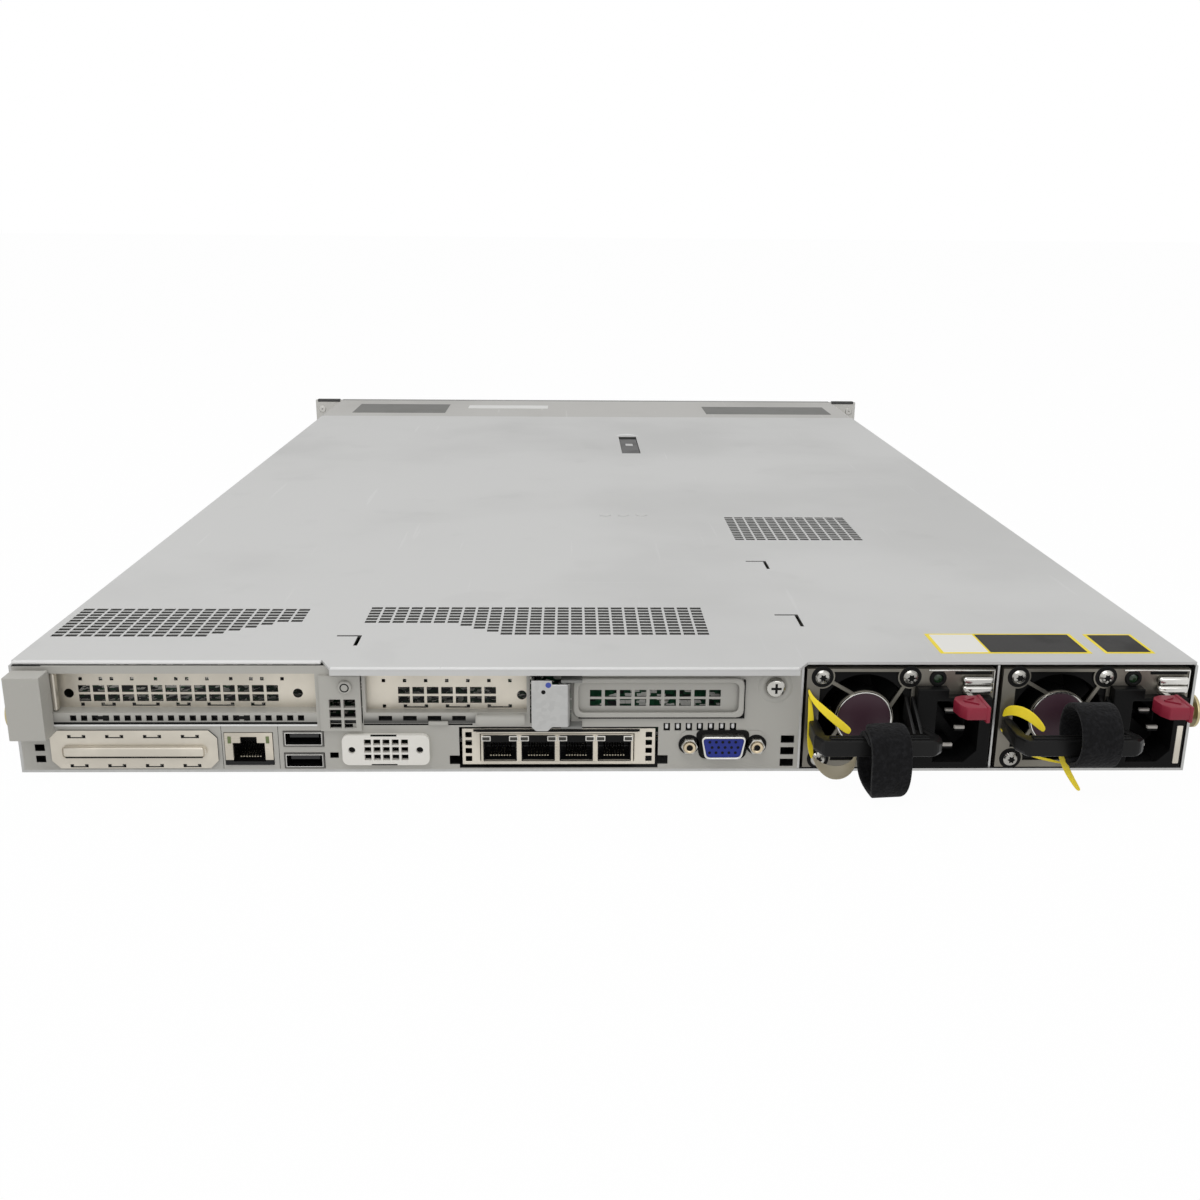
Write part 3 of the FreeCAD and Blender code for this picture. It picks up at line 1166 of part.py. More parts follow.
def bay_space(column, row):
    """The clear width and height of one bay."""
    x0 = CAGE_X[0] + column * BAY_W + SHEET
    z0 = SHEET + row * (BAY_H + SHEET)
    return (x0, x0 + BAY_W - SHEET), (z0, z0 + BAY_H)


def drive_cage():
    shelf = box(CAGE_X, CAGE_Y, (SHEET + BAY_H, SHEET + BAY_H + SHEET))
    walls = []
    for i in range(BAY_COLUMNS + 1):
        x = CAGE_X[0] + i * BAY_W
        walls.append(box((x, x + SHEET), CAGE_Y, (SHEET, PANEL_TOP)))
    return join(shelf, *walls)


def inside_bay(column, row):
    x, z = bay_space(column, row)
    return (x[0] + DRIVE_GAP, x[1] - DRIVE_GAP), (z[0] + DRIVE_GAP, z[1] - DRIVE_GAP)


def drive_fillers():
    fillers = []
    for column in range(BAY_COLUMNS):
        for row in range(BAY_ROWS):
            if (column, row) == (0, 0):
                continue
            x, z = inside_bay(column, row)
            body = box(x, (FRONT - BEZEL_T, FRONT + BEZEL_OUT), z)
            scoop_x = (x[0] + SCOOP_IN[0], x[1] - SCOOP_IN[0])
            scoop = box(scoop_x, (FRONT, FRONT + BEZEL_OUT), (z[0] + SCOOP_IN[1], z[1] - SCOOP_IN[1]))
            fillers.append(body.cut(scoop))
    return fillers


LEVER_X, LEVER_Z = inside_bay(0, 0)
DRIVE_AXIS_X = LEVER_X[1] - DRIVE_AXIS_IN
DRIVE_AXIS_Y = FRONT + BEZEL_OUT - SLEEVE_R - DRIVE_AXIS_BACK


def drive_carrier():
    """A drive in its carrier; two plates at the front hold the pin of the release lever."""
    x, z = LEVER_X, LEVER_Z
    body = box(x, (FRONT - CARRIER_D, FRONT - CARRIER_FRONT), z)
    plate_x = (x[1] - CARRIER_PLATE_W, x[1])
    plate_y = (FRONT - CARRIER_FRONT, FRONT + BEZEL_OUT)
    plates = [box(plate_x, plate_y, (low, low + CARRIER_PLATE)) for low in (z[0], z[1] - CARRIER_PLATE)]
    pin_start = (DRIVE_AXIS_X, DRIVE_AXIS_Y, z[0] + CARRIER_PLATE / 2)
    pin = rod(pin_start, PIN_R, z[1] - z[0] - CARRIER_PLATE, (0, 0, 1))
    return join(body, *plates, pin)


def drive_lever():
    x = (LEVER_X[0], DRIVE_AXIS_X)
    z = (LEVER_Z[0] + CARRIER_PLATE + FIT, LEVER_Z[1] - CARRIER_PLATE - FIT)
    y = (DRIVE_AXIS_Y - SLEEVE_R, DRIVE_AXIS_Y + SLEEVE_R)
    plate = box(x, y, z)
    outer = rod((DRIVE_AXIS_X, DRIVE_AXIS_Y, z[0]), SLEEVE_R, z[1] - z[0], (0, 0, 1))
    bore = rod((DRIVE_AXIS_X, DRIVE_AXIS_Y, z[0]), PIN_R + RUN, z[1] - z[0], (0, 0, 1))
    return join(plate, outer).cut(bore)


FASCIA_X = (CAGE_X[1] + FASCIA_GAP, IN_RIGHT - FASCIA_GAP)
BUTTON_X = FASCIA_X[1] - BUTTON_IN


def front_fascia():
    """The control panel beside the drives, with a bushing behind each button."""
    z = (SHEET, PANEL_TOP)
    panel = box(FASCIA_X, (FRONT, FRONT + FASCIA_T), z)
    legs = [box((x, x + SHEET), (FRONT - FASCIA_D, FRONT), z) for x in (FASCIA_X[0], FASCIA_X[1] - SHEET)]
    panel = join(panel, *legs)
    for height, radius in ((BUTTON_Z, BUTTON_R), (UID_BUTTON_Z, UID_BUTTON_R)):
        start = (BUTTON_X, FRONT - BUSHING_D, height)
        panel = join(panel, rod(start, radius + BUSHING_WALL, BUSHING_D, (0, 1, 0)))
        panel = panel.cut(rod(start, radius + RUN, BUSHING_D + FASCIA_T, (0, 1, 0)))
    return panel


def push_button(z, radius):
    return rod((BUTTON_X, FRONT - BUTTON_TAIL, z), radius, BUTTON_TAIL + FASCIA_T + BUTTON_PROUD, (0, 1, 0))


def rack_ears():
    ears = []
    for side in (-1, 1):
        wall = side * CHASSIS_W / 2
        tip = wall + side * EAR_W
        flange = box(sorted((wall, tip)), (FRONT - EAR_T, FRONT), (FIT, CHASSIS_H - FIT))
        leg = box(sorted((wall, wall + side * SHEET)), (FRONT - EAR_LEG, FRONT), (FIT, WALL_TOP))
        place = (tip - side * EAR_HOLE_IN, FRONT - EAR_T, CHASSIS_H / 2)
        ears.append(join(flange, leg).cut(rod(place, EAR_HOLE_R, EAR_T, (0, 1, 0))))
    return ears


def rail_studs():
    studs = []
    for side in (-1, 1):
        for y in STUD_Y:
            start = (side * CHASSIS_W / 2, REAR + y, STUD_Z)
            neck = rod(start, STUD_R, STUD_OUT, (side, 0, 0))
            head_at = (side * (CHASSIS_W / 2 + STUD_OUT - STUD_HEAD), REAR + y, STUD_Z)
            studs.append(join(neck, rod(head_at, STUD_HEAD_R, STUD_HEAD, (side, 0, 0))))
    return studs


def main():
    os.makedirs("parts", exist_ok=True)
    save("chassis_pan", chassis_pan())
    save("rear_panel", rear_panel())
    save("riser_cages", *riser_cages())
    holes_1 = (SLOT_1_X[0] + SLOT_1_HOLE_IN[0], SLOT_1_X[1] - SLOT_1_HOLE_IN[1])
    holes_2 = [SLOT_2_X[1] - SLOT_2_HOLE_IN]
    cover_1 = slot_cover(SLOT_1_X, SLOT_1_RECESS, SLOT_1_VENTS, holes_1, cuts_1(), SLOT_1_SHIFT)
    save("slot_cover_1", cover_1)
    save("slot_cover_2", slot_cover(SLOT_2_X, SLOT_2_RECESS, SLOT_2_VENTS, holes_2, cuts_2()))
    save("slot_cover_3", slot_cover_3())
    save("lower_blank_plate", lower_blank_plate())
    save("network_ports", *network_ports())
    save("lan_bracket", lan_bracket())
    save("usb_ports", usb_ports())
    save("serial_port_cover", serial_port_cover())
    save("video_port", *video_port())
    save("panel_screws", *panel_screws())
    save("latch_hinges", *latch_hinges())
    save("slot_latch_left", slot_latch_left())
    save("slot_latch_mid", slot_latch_mid())
    save("top_cover", top_cover())
    save("cover_latch_tray", cover_latch_tray())
    save("cover_latch", cover_latch())
    save("psu_bay_walls", *psu_bay_walls())
    save("system_board", system_board())
    sockets, modules = memory()
    save("memory_sockets", *sockets)
    save("memory_modules", *modules)
    save("heat_sinks", *heat_sinks())
    save("riser_cards", *riser_cards())
    save("fan_frames", *[fan_frame(x, REAR + FAN_ROW_Y, FAN_ROW_Z, FAN) for x in FAN_ROW_X])
    for i, x in enumerate(FAN_ROW_X):
        save(f"fan_rotor_{i + 1}", fan_rotor(x, REAR + FAN_ROW_Y, FAN_ROW_Z, FAN))
    for i, x in enumerate(PSU_X):
        name = f"psu_{i + 1}"
        fan = (x + FAN_X, REAR + PSU_SKIN, PSU_Z + FAN_Z, PSU_FAN)
        save(f"{name}_case", psu_case(x))
        save(f"{name}_fan_frame", fan_frame(*fan))
        save(f"{name}_fan_rotor", fan_rotor(*fan))
        save(f"{name}_board", psu_board(x))
        save(f"{name}_inlet", *psu_inlet(x))
        save(f"{name}_handle", psu_handle(x))
        save(f"{name}_release", *psu_release(x))
    save("psu_1_strap", hanging_strap(PSU_X[0]))
    save("psu_2_strap", rolled_strap(PSU_X[1]))
    save("drive_cage", drive_cage())
    backplane_y = (CAGE_Y[0] - BACKPLANE_T, CAGE_Y[0])
    backplane_z = (SHEET + BACKPLANE_EDGE, PANEL_TOP - BACKPLANE_EDGE)
    save("drive_backplane", box(CAGE_X, backplane_y, backplane_z))
    save("drive_fillers", *drive_fillers())
    save("drive_carrier", drive_carrier())
    save("drive_lever", drive_lever())
    save("front_fascia", front_fascia())
    save("power_button", push_button(BUTTON_Z, BUTTON_R))
    save("uid_button", push_button(UID_BUTTON_Z, UID_BUTTON_R))
    save("front_top_plate", box((LEFT, RIGHT), (REAR + COVER_D + FIT, FRONT), (WALL_TOP, CHASSIS_H)))
    save("rack_ears", *rack_ears())
    save("rail_studs", *rail_studs())


main()
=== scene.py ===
# %% [markdown]
# A one-unit rack server, seen from behind and above: a wide sheet-metal case with a perforated cover, a
# rear wall full of ports, and two pull-out power supplies. The solids come packed from the CAD model and
# stay where they are. This lesson gives them finishes and adds the small or soft pieces.

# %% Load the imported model
import json
import math
from contextlib import contextmanager

import bpy
from mathutils import Matrix, Vector


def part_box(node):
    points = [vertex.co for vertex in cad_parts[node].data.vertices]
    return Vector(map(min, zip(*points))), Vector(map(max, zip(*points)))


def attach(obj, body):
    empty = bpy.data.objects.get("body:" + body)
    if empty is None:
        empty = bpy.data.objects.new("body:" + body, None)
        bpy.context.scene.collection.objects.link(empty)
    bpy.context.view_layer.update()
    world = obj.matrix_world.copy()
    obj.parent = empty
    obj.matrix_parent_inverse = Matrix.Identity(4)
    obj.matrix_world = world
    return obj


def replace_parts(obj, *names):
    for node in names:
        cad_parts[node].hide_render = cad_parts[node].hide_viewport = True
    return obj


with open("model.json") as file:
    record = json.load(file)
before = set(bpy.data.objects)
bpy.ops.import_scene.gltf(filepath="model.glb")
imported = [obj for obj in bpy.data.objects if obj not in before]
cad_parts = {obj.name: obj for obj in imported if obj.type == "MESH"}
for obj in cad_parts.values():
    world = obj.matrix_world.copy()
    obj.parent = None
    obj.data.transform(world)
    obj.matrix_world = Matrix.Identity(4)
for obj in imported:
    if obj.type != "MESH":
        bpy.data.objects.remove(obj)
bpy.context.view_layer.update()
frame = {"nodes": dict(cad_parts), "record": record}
nodes = frame["nodes"]
slot_of = {part["node"]: part["material_slot"] for part in frame["record"]["subparts"]}
MM = 0.001
REAR, FRONT = -353.5, 353.5  # the rear wall and the front, in millimetres along Y
SUPPLY_X = {"psu_1": 72.6, "psu_2": 145.2}  # left sides of the two power supplies

# %% [markdown]
# The camera was fitted to the straight edges of the case in the photograph, taking the width and depth of
# the solids for those of the real case. It stands about 0.44 m behind the rear wall, a little to the left
# of the middle, and looks down. A camera set by eye is quicker, but with a fitted one the ports can be
# compared one by one.

# %% Camera
LENS = 38.215
PITCH, ROLL, YAW = 0.2897, 0.0082, -0.0241
EYE = (-0.01432, -0.79194, 0.19763)
camera = bpy.data.objects.new("camera", bpy.data.cameras.new("camera"))
camera.data.lens = LENS
camera.data.sensor_width = 36.0
camera.data.clip_start = 0.01
level = Matrix.Rotation(YAW, 4, "Z") @ Matrix.Rotation(math.pi / 2 - PITCH, 4, "X")
camera.matrix_world = Matrix.Translation(EYE) @ level @ Matrix.Rotation(ROLL, 4, "Z")
bpy.context.scene.collection.objects.link(camera)
bpy.context.scene.camera = camera
bpy.context.scene.view_settings.view_transform = "Standard"
print("camera at", EYE, "lens", LENS)

# %% [markdown]
# Soft light from a studio: a pale dome all round, one wide lamp above and one behind the camera. A bright
# dome alone would wash out the colours. So the dome looks white to the camera and in reflections, and
# gives less light to the surfaces.

# %% World and lamps
DOME_LIGHT = 0.44
world = bpy.data.worlds.new("studio")
bpy.context.scene.world = world
world.use_nodes = True


def background_rays(tree):
    """1 for rays from the camera and for those that metal and glass send on, else 0."""
    ray = tree.nodes.new("ShaderNodeLightPath")
    seen = ray.outputs["Is Camera Ray"]
    for kind in ("Is Glossy Ray", "Is Transmission Ray"):
        either = tree.nodes.new("ShaderNodeMath")
        either.operation = "MAXIMUM"
        tree.links.new(seen, either.inputs[0])
        tree.links.new(ray.outputs[kind], either.inputs[1])
        seen = either.outputs[0]
    return seen


sky = world.node_tree
sky_light = sky.nodes["Background"]
sky_light.inputs["Color"].default_value = (1, 1, 1, 1)
strength = sky.nodes.new("ShaderNodeMapRange")
strength.inputs["To Min"].default_value = DOME_LIGHT
strength.inputs["To Max"].default_value = 1.0
sky.links.new(background_rays(sky), strength.inputs["Value"])
sky.links.new(strength.outputs["Result"], sky_light.inputs["Strength"])


def lamp(name, place, target, size, power):
    light = bpy.data.lights.new(name, "AREA")
    light.size = size
    light.energy = power
    holder = bpy.data.objects.new(name, light)
    facing = (Vector(target) - Vector(place)).to_track_quat("-Z", "Y")
    holder.matrix_world = Matrix.Translation(place) @ facing.to_matrix().to_4x4()
    bpy.context.scene.collection.objects.link(holder)


lamp("lamp_above", (-0.4, -0.8, 1.7), (0, -0.1, 0), 1.3, 14.0)
lamp("lamp_behind", (0.5, -1.9, 1.0), (0, -0.35, 0), 1.2, 5.0)
print("dome at", DOME_LIGHT, "and two lamps")

# %% [markdown]
# A finish is a shader fed by expressions. Nodes could be wired one by one, but a mask is easier to read
# as a line of arithmetic. So the class Value stands for a number that changes over a surface, and
# Python's operators on it add Math nodes.

# %% Values that change over a surface
class Value:
    def __init__(self, finish, socket):
        self.finish = finish
        self.socket = socket


def operator(operation, reflected=False):
    def act(self, other):
        pair = (other, self) if reflected else (self, other)
        return self.finish.node("ShaderNodeMath", {"operation": operation}, dict(enumerate(pair)))
    return act


for sign, operation in (("add", "ADD"), ("sub", "SUBTRACT"), ("mul", "MULTIPLY"), ("truediv", "DIVIDE")):
    setattr(Value, f"__{sign}__", operator(operation))
    setattr(Value, f"__r{sign}__", operator(operation, reflected=True))
setattr(Value, "__gt__", operator("GREATER_THAN"))
setattr(Value, "__lt__", operator("LESS_THAN"))
setattr(Value, "most", operator("MAXIMUM"))
print("operators ready")

# %% [markdown]
# Finish makes every other node with one method, and holds the few patterns that the server's surfaces
# share: noise, cells, smooth steps, and masks by place. An overlay lays a second material over the first,
# which keeps a solid of two materials in one piece.

# %% Finishes
class Finish:
    def __init__(self, name, **sockets):
        self.material = bpy.data.materials.new(name)
        self.material.use_nodes = True
        self.shader = self.material.node_tree.nodes["Principled BSDF"]
        self.at = self.node("ShaderNodeTexCoord", output="Object")
        self.feed(**sockets)

    def node(self, kind, settings=None, inputs=None, output=0):
        made = self.material.node_tree.nodes.new(kind)
        for key, setting in (settings or {}).items():
            setattr(made, key, setting)
        for key, value in (inputs or {}).items():
            self.join(value, made.inputs[key])
        return Value(self, made.outputs[output])

    def join(self, value, socket):
        if isinstance(value, Value):
            self.material.node_tree.links.new(value.socket, socket)
        elif hasattr(value, "__len__") and len(value) == 3 and socket.type == "RGBA":
            socket.default_value = (*value, 1.0)
        else:
            socket.default_value = value

    def feed(self, **sockets):
        for name, value in sockets.items():
            self.join(value, self.shader.inputs[name.replace("_", " ").title().replace("Ior", "IOR")])

    def along(self, axis):
        """The place on the surface along one axis, in millimetres."""
        return self.node("ShaderNodeSeparateXYZ", {}, {0: self.at}, "XYZ".index(axis)) * 1000

    def stretched(self, *factors):
        return self.node("ShaderNodeMapping", {}, {"Vector": self.at, "Scale": factors})

    def noise(self, scale, detail=3.0, place=None):
        inputs = {"Vector": place or self.at, "Scale": scale, "Detail": detail}
        return self.node("ShaderNodeTexNoise", {}, inputs)

    def cells(self, scale, output=0, **settings):
        return self.node("ShaderNodeTexVoronoi", settings, {"Vector": self.at, "Scale": scale}, output)

    def between(self, value, low, high):
        """0 below low, 1 above high, and a smooth step between."""
        inputs = {"Value": value, "From Min": low, "From Max": high}
        return self.node("ShaderNodeMapRange", {"interpolation_type": "SMOOTHSTEP"}, inputs)

    def near(self, axis, middle, half):
        """1 within half of the middle along an axis."""
        away = self.node("ShaderNodeMath", {"operation": "ABSOLUTE"}, {0: self.along(axis) - middle})
        return away < half

    def mix(self, mask, first, second):
        settings = {"data_type": "RGBA", "clamp_factor": True}
        return self.node("ShaderNodeMix", settings, {0: mask, 6: first, 7: second}, 2)

    def now(self, name):
        """What feeds a socket of the shader."""
        socket = self.shader.inputs[name]
        return Value(self, socket.links[0].from_socket) if socket.links else socket.default_value

    def overlay(self, mask, colour, metal=0.0):
        """Lays another material over this one where the mask is 1."""
        below = self.now("Metallic")
        self.feed(base_color=self.mix(mask, self.now("Base Color"), colour))
        if below != metal:
            self.feed(metallic=below + mask * (metal - below))
        return self

    def relief(self, height, depth):
        """A Bump node: height is in units of depth, in millimetres."""
        inputs = {"Height": height, "Distance": depth * MM, "Strength": 1.0}
        self.feed(normal=self.node("ShaderNodeBump", {}, inputs))


def shade(colour, factor):
    return tuple(min(1.0, part * factor) for part in colour)


print("finishes ready")

# %% [markdown]
# Four families cover most of the server. Painted sheet is satin, with smudges from hands and a few fine
# scratches. Plated sheet shows a soft flow of brighter and duller metal. Galvanised sheet has the crystal
# spangle of zinc. Moulded plastic has a fine spark-eroded grain. Noise and cells give these without
# pictures.

# %% Painted, plated, galvanised and moulded
SPANGLE = 560.0  # cells of zinc to a metre


def painted(name, colour, roughness, smudge, scratch):
    coat = Finish(name, metallic=0.0)
    cloud = coat.between(coat.noise(7.0, 4.0), 0.42, 0.70)
    spots = coat.between(coat.noise(31.0, 5.0), 0.60, 0.72)
    streaks = coat.noise(260.0, 2.0, coat.stretched(1.0, 0.035, 1.0))
    across = coat.noise(300.0, 2.0, coat.stretched(0.03, 1.0, 1.0))
    lines = coat.between(streaks, 0.69, 0.74).most(coat.between(across, 0.71, 0.76))
    dirt = cloud * smudge + spots * (smudge * 0.45)
    base = coat.mix(dirt, colour, shade(colour, 0.55))
    coat.feed(base_color=coat.mix(lines * scratch, base, shade(colour, 1.35)))
    coat.feed(roughness=roughness + cloud * 0.10 - lines * 0.12)
    coat.relief(coat.noise(900.0, 2.0), 0.012)
    return coat


def plated(name, colour, roughness, flow, grain=0.010, metal=1.0):
    skin = Finish(name, metallic=metal)
    cloud = skin.noise(38.0, 4.0)
    brushed = skin.noise(420.0, 2.0, skin.stretched(0.06, 1.0, 1.0))
    dull, bright = shade(colour, 1.0 - flow), shade(colour, 1.0 + flow * 0.5)
    skin.feed(base_color=skin.mix(skin.between(cloud, 0.35, 0.68), dull, bright))
    skin.feed(roughness=roughness + brushed * 0.10 + cloud * 0.06 - 0.06)
    skin.relief(brushed, grain)
    return skin


def galvanised(name, colour):
    zinc = Finish(name, metallic=1.0)
    crystal = zinc.cells(SPANGLE, "Color")
    seam = zinc.cells(SPANGLE, 0, feature="DISTANCE_TO_EDGE")
    bright = zinc.between(crystal, 0.1, 0.9)
    base = zinc.mix(bright, shade(colour, 0.95), shade(colour, 1.03))
    zinc.feed(base_color=base, roughness=0.36 + bright * 0.06)
    zinc.relief(zinc.between(seam, 0.0, 0.06), 0.008)
    return zinc


def moulded(name, colour, roughness=0.42, grain=0.03, dust=0.08, gloss=0.5):
    skin = Finish(name, metallic=0.0, specular_ior_level=gloss)
    fine = skin.noise(1500.0, 2.0)
    rubbed = skin.between(skin.noise(55.0, 4.0), 0.48, 0.72)
    pale = tuple(0.9 * part + 0.03 for part in shade(colour, 1.5))
    skin.feed(base_color=skin.mix(rubbed * dust, colour, pale))
    skin.feed(roughness=roughness + rubbed * 0.12 + fine * 0.06)
    skin.relief(fine, grain)
    return skin


print("four families of finish")

# %% [markdown]
# The boards are fibreglass under green lacquer: fine copper tracks show as paler lines, with gold pads
# and small white and dark parts. Cells at two sizes stand for all of these, because only glimpses show
# behind the vents. The straps are felt of short loops: it is rough, hardly shines, and has a lighter nap
# at a glance.

# %% Circuit board and felt
def board(name, colour):
    lacquer = Finish(name, metallic=0.0, coat_weight=0.3)
    tracks = lacquer.between(lacquer.noise(900.0, 1.0, lacquer.stretched(1.0, 0.08, 1.0)), 0.52, 0.60)
    pads = lacquer.cells(210.0) < 0.16
    pick = lacquer.cells(240.0, "Color", distance="CHEBYCHEV")
    chip = (lacquer.cells(240.0, 0, distance="CHEBYCHEV") < 0.46) * (pick > 0.36)
    green = lacquer.mix(tracks * 0.6, colour, shade(colour, 2.2))
    metal = lacquer.mix(pads, green, (0.78, 0.60, 0.26))
    dark_or_white = lacquer.mix(pick > 0.57, (0.012, 0.012, 0.012), (0.80, 0.79, 0.74))
    lacquer.feed(base_color=lacquer.mix(chip, metal, dark_or_white))
    lacquer.feed(metallic=pads * (1 - chip) * 0.9, roughness=0.32 + chip * 0.2)
    lacquer.relief(chip + pads * 0.2, 0.3)
    return lacquer


def felt(name, colour):
    nap = Finish(name, metallic=0.0, sheen_weight=0.06, sheen_roughness=0.6, specular_ior_level=0.08)
    loops = nap.cells(900.0)
    fuzz = nap.noise(620.0, 5.0)
    tufts = nap.between(fuzz, 0.40, 0.72)
    nap.feed(base_color=nap.mix(tufts, colour, shade(colour, 2.7)))
    nap.feed(roughness=0.86 + tufts * 0.1)
    nap.relief(loops * 0.6 + fuzz, 0.35)
    return nap


print("board and felt")

# %% [markdown]
# Each material slot of the record gets its finish. The colours were set by comparing renders with the
# photograph, under the plain light of this scene, so they hold under other light too.

# %% A finish for every slot
WARM_PANEL = (0.44, 0.43, 0.395)
COVER_LOOK = ((0.61, 0.61, 0.60), 0.48, 0.16, 0.015)  # colour, roughness, smudges, scratches
ZINC = (0.46, 0.46, 0.45)
NICKEL = (0.66, 0.615, 0.53)
BRIGHT = (0.62, 0.61, 0.58)
INK = (0.006, 0.006, 0.006)
finishes = {
    "galvanised_steel": galvanised("galvanised_steel", ZINC),
    "painted_panel": painted("painted_panel", WARM_PANEL, 0.45, 0.12, 0.10),
    "cover_paint": painted("cover_paint", *COVER_LOOK),
    "front_paint": painted("front_paint", (0.46, 0.45, 0.43), 0.5, 0.12, 0.08),
    "nickel_plate": plated("nickel_plate", NICKEL, 0.36, 0.14, 0.010, 0.6),
    "port_shell": plated("port_shell", BRIGHT, 0.26, 0.20),
    "bright_steel": plated("bright_steel", BRIGHT, 0.18, 0.25, 0.004),
    "psu_steel": plated("psu_steel", (0.20, 0.188, 0.16), 0.34, 0.16, 0.010, 0.8),
    "fin_aluminium": plated("fin_aluminium", (0.70, 0.70, 0.70), 0.34, 0.08),
    "board_green": board("board_green", (0.012, 0.06, 0.028)),
    "black_plastic": moulded("black_plastic", INK, 0.30, 0.02, 0.04, 0.08),
    "dark_plastic": moulded("dark_plastic", (0.055, 0.055, 0.054), 0.48, 0.03, 0.08, 0.35),
    "white_plastic": moulded("white_plastic", (0.80, 0.78, 0.73), 0.40, 0.02, 0.05),
    "blue_plastic": moulded("blue_plastic", (0.04, 0.07, 0.36), 0.34),
    "crimson_plastic": moulded("crimson_plastic", (0.25, 0.016, 0.036), 0.36, 0.03, 0.10, 0.3),
    "strap_felt": felt("strap_felt", (0.0045, 0.0045, 0.005)),
    "stud_brass": plated("stud_brass", (0.52, 0.44, 0.25), 0.30, 0.16),
}
print(len(finishes), "finishes")

# %% [markdown]
# A few solids hold two materials, such as the dark plug wells of the ports and the blades of the inlets.
# They could be cut apart, but masks by place tell the materials apart and leave each solid whole.

# %% Solids of two materials
SINGLE_X = -133.05  # middle of the single network jack
RIVET_X = -96.5
INLET_X, INLET_Z = 55.8, 17.9  # middle of an inlet, from its supply's left side


def wells(name, shell, depth, metal=1.0):
    """Bright port shells whose wells are dark plastic from a given depth behind the rear wall."""
    skin = plated(name, shell, 0.26, 0.20, 0.010, metal)
    return skin.overlay(skin.along("Y") > REAR + depth, INK)


def jacks():
    """The gang of four is plated; the single jack is ivory above and black below."""
    skin = wells("network_ports", (0.62, 0.57, 0.48), 0.5, 0.5)
    return skin.overlay(skin.near("X", SINGLE_X, 10.0) * (skin.along("Z") < 5.0), INK, 0.5)


def screw_and_rivet():
    """A bright screw, and a rivet in the paint of the panel."""
    skin = plated("panel_screws", (0.50, 0.49, 0.46), 0.2, 0.3, 0.004)
    return skin.overlay(skin.near("X", RIVET_X, 5.0), WARM_PANEL)


def inlet(name, left):
    """Black inlet block with three bright blades in its socket."""
    skin = moulded(name, INK, 0.30, 0.02, 0.04, 0.08)
    tips = skin.along("Y") < REAR + 0.3
    for aside, rise in ((-2.0, 7.0), (2.0, 0.0), (-2.0, -7.0)):
        blade = skin.near("X", left + INLET_X + aside, 2.1) * skin.near("Z", INLET_Z + rise, 0.5)
        skin.overlay(blade * tips, (0.55, 0.53, 0.49))
    return skin


handle_black = moulded("handle_black", INK, 0.30, 0.02, 0.06, 0.18)
special = {
    "network_ports": jacks(),
    "panel_screws": screw_and_rivet(),
    "latch_hinges": painted("latch_hinges", (0.20, 0.20, 0.19), 0.45, 0.12, 0.10),
    "usb_ports": wells("usb_ports", (0.16, 0.155, 0.145), 0.0),
    "rack_ears": painted("rack_ears", (0.62, 0.61, 0.58), 0.5, 0.12, 0.05),
}
for supply, left in SUPPLY_X.items():
    special[f"{supply}_inlet"] = inlet(f"{supply}_inlet", left)
    special[f"{supply}_handle"] = handle_black
print(len(special), "solids with a finish of their own")

# %% [markdown]
# The sheet parts are bright outside, but their cut edges and inner sides lie in the dark of a closed case.
# The real inside is crowded with parts that swallow the light, and the solids are simpler. So masks by
# depth and height paint shade on what lies behind the outer face: a painted shade, not a colour of the
# sheet.

# %% Sheet with painted shade inside
COVER_TOP = 42.9
INNER_HALF = 216.4  # half of the room between the side walls
LEDGE_TOP, SHELF_Z = 22.65, 20.4  # below the slots, and the shelf inside
# painted shade laid over the insides and cut edges of the sheet
PAINTED_SHADE = (0.02, 0.02, 0.02)
SHADOW = (0.03, 0.03, 0.028)


def cut_sheet(name, colour, front, metal=0.0):
    """Sheet metal whose cut edges lie in shadow: painted shade from just behind its front face."""
    if metal:
        skin = plated(name, colour, 0.36, 0.14, 0.010, metal)
    else:
        skin = painted(name, colour, 0.45, 0.12, 0.10)
    return skin.overlay(skin.along("Y") > REAR + front + 0.12, PAINTED_SHADE)


def pan():
    skin = galvanised("chassis_pan", ZINC)
    # painted shade over the inside of the pan, between the side walls and behind the rear wall
    within = skin.near("X", 0.0, INNER_HALF) * (skin.along("Z") > 0.95)
    return skin.overlay(within * (skin.along("Y") > REAR + 1.2), PAINTED_SHADE)


def cover():
    """Painted shade: the sides of the vents are darker than the top, and the inside darker still."""
    skin = painted("top_cover", *COVER_LOOK)
    height = skin.along("Z")
    within = skin.near("X", 0.0, INNER_HALF) * (skin.along("Y") > REAR + 6.0)
    skin.overlay(within * (height < COVER_TOP - 0.1), (0.12, 0.12, 0.115))
    return skin.overlay(within * (height < COVER_TOP - 0.95), PAINTED_SHADE)


def top_plate():
    """A painted shade darkens the last few millimetres at the front of the fixed plate, where its edge is
    folded down.
    """
    skin = painted("front_top_plate", (0.50, 0.49, 0.465), 0.5, 0.12, 0.05)
    return skin.overlay(skin.along("Y") > FRONT - 7.0, (0.22, 0.22, 0.21))


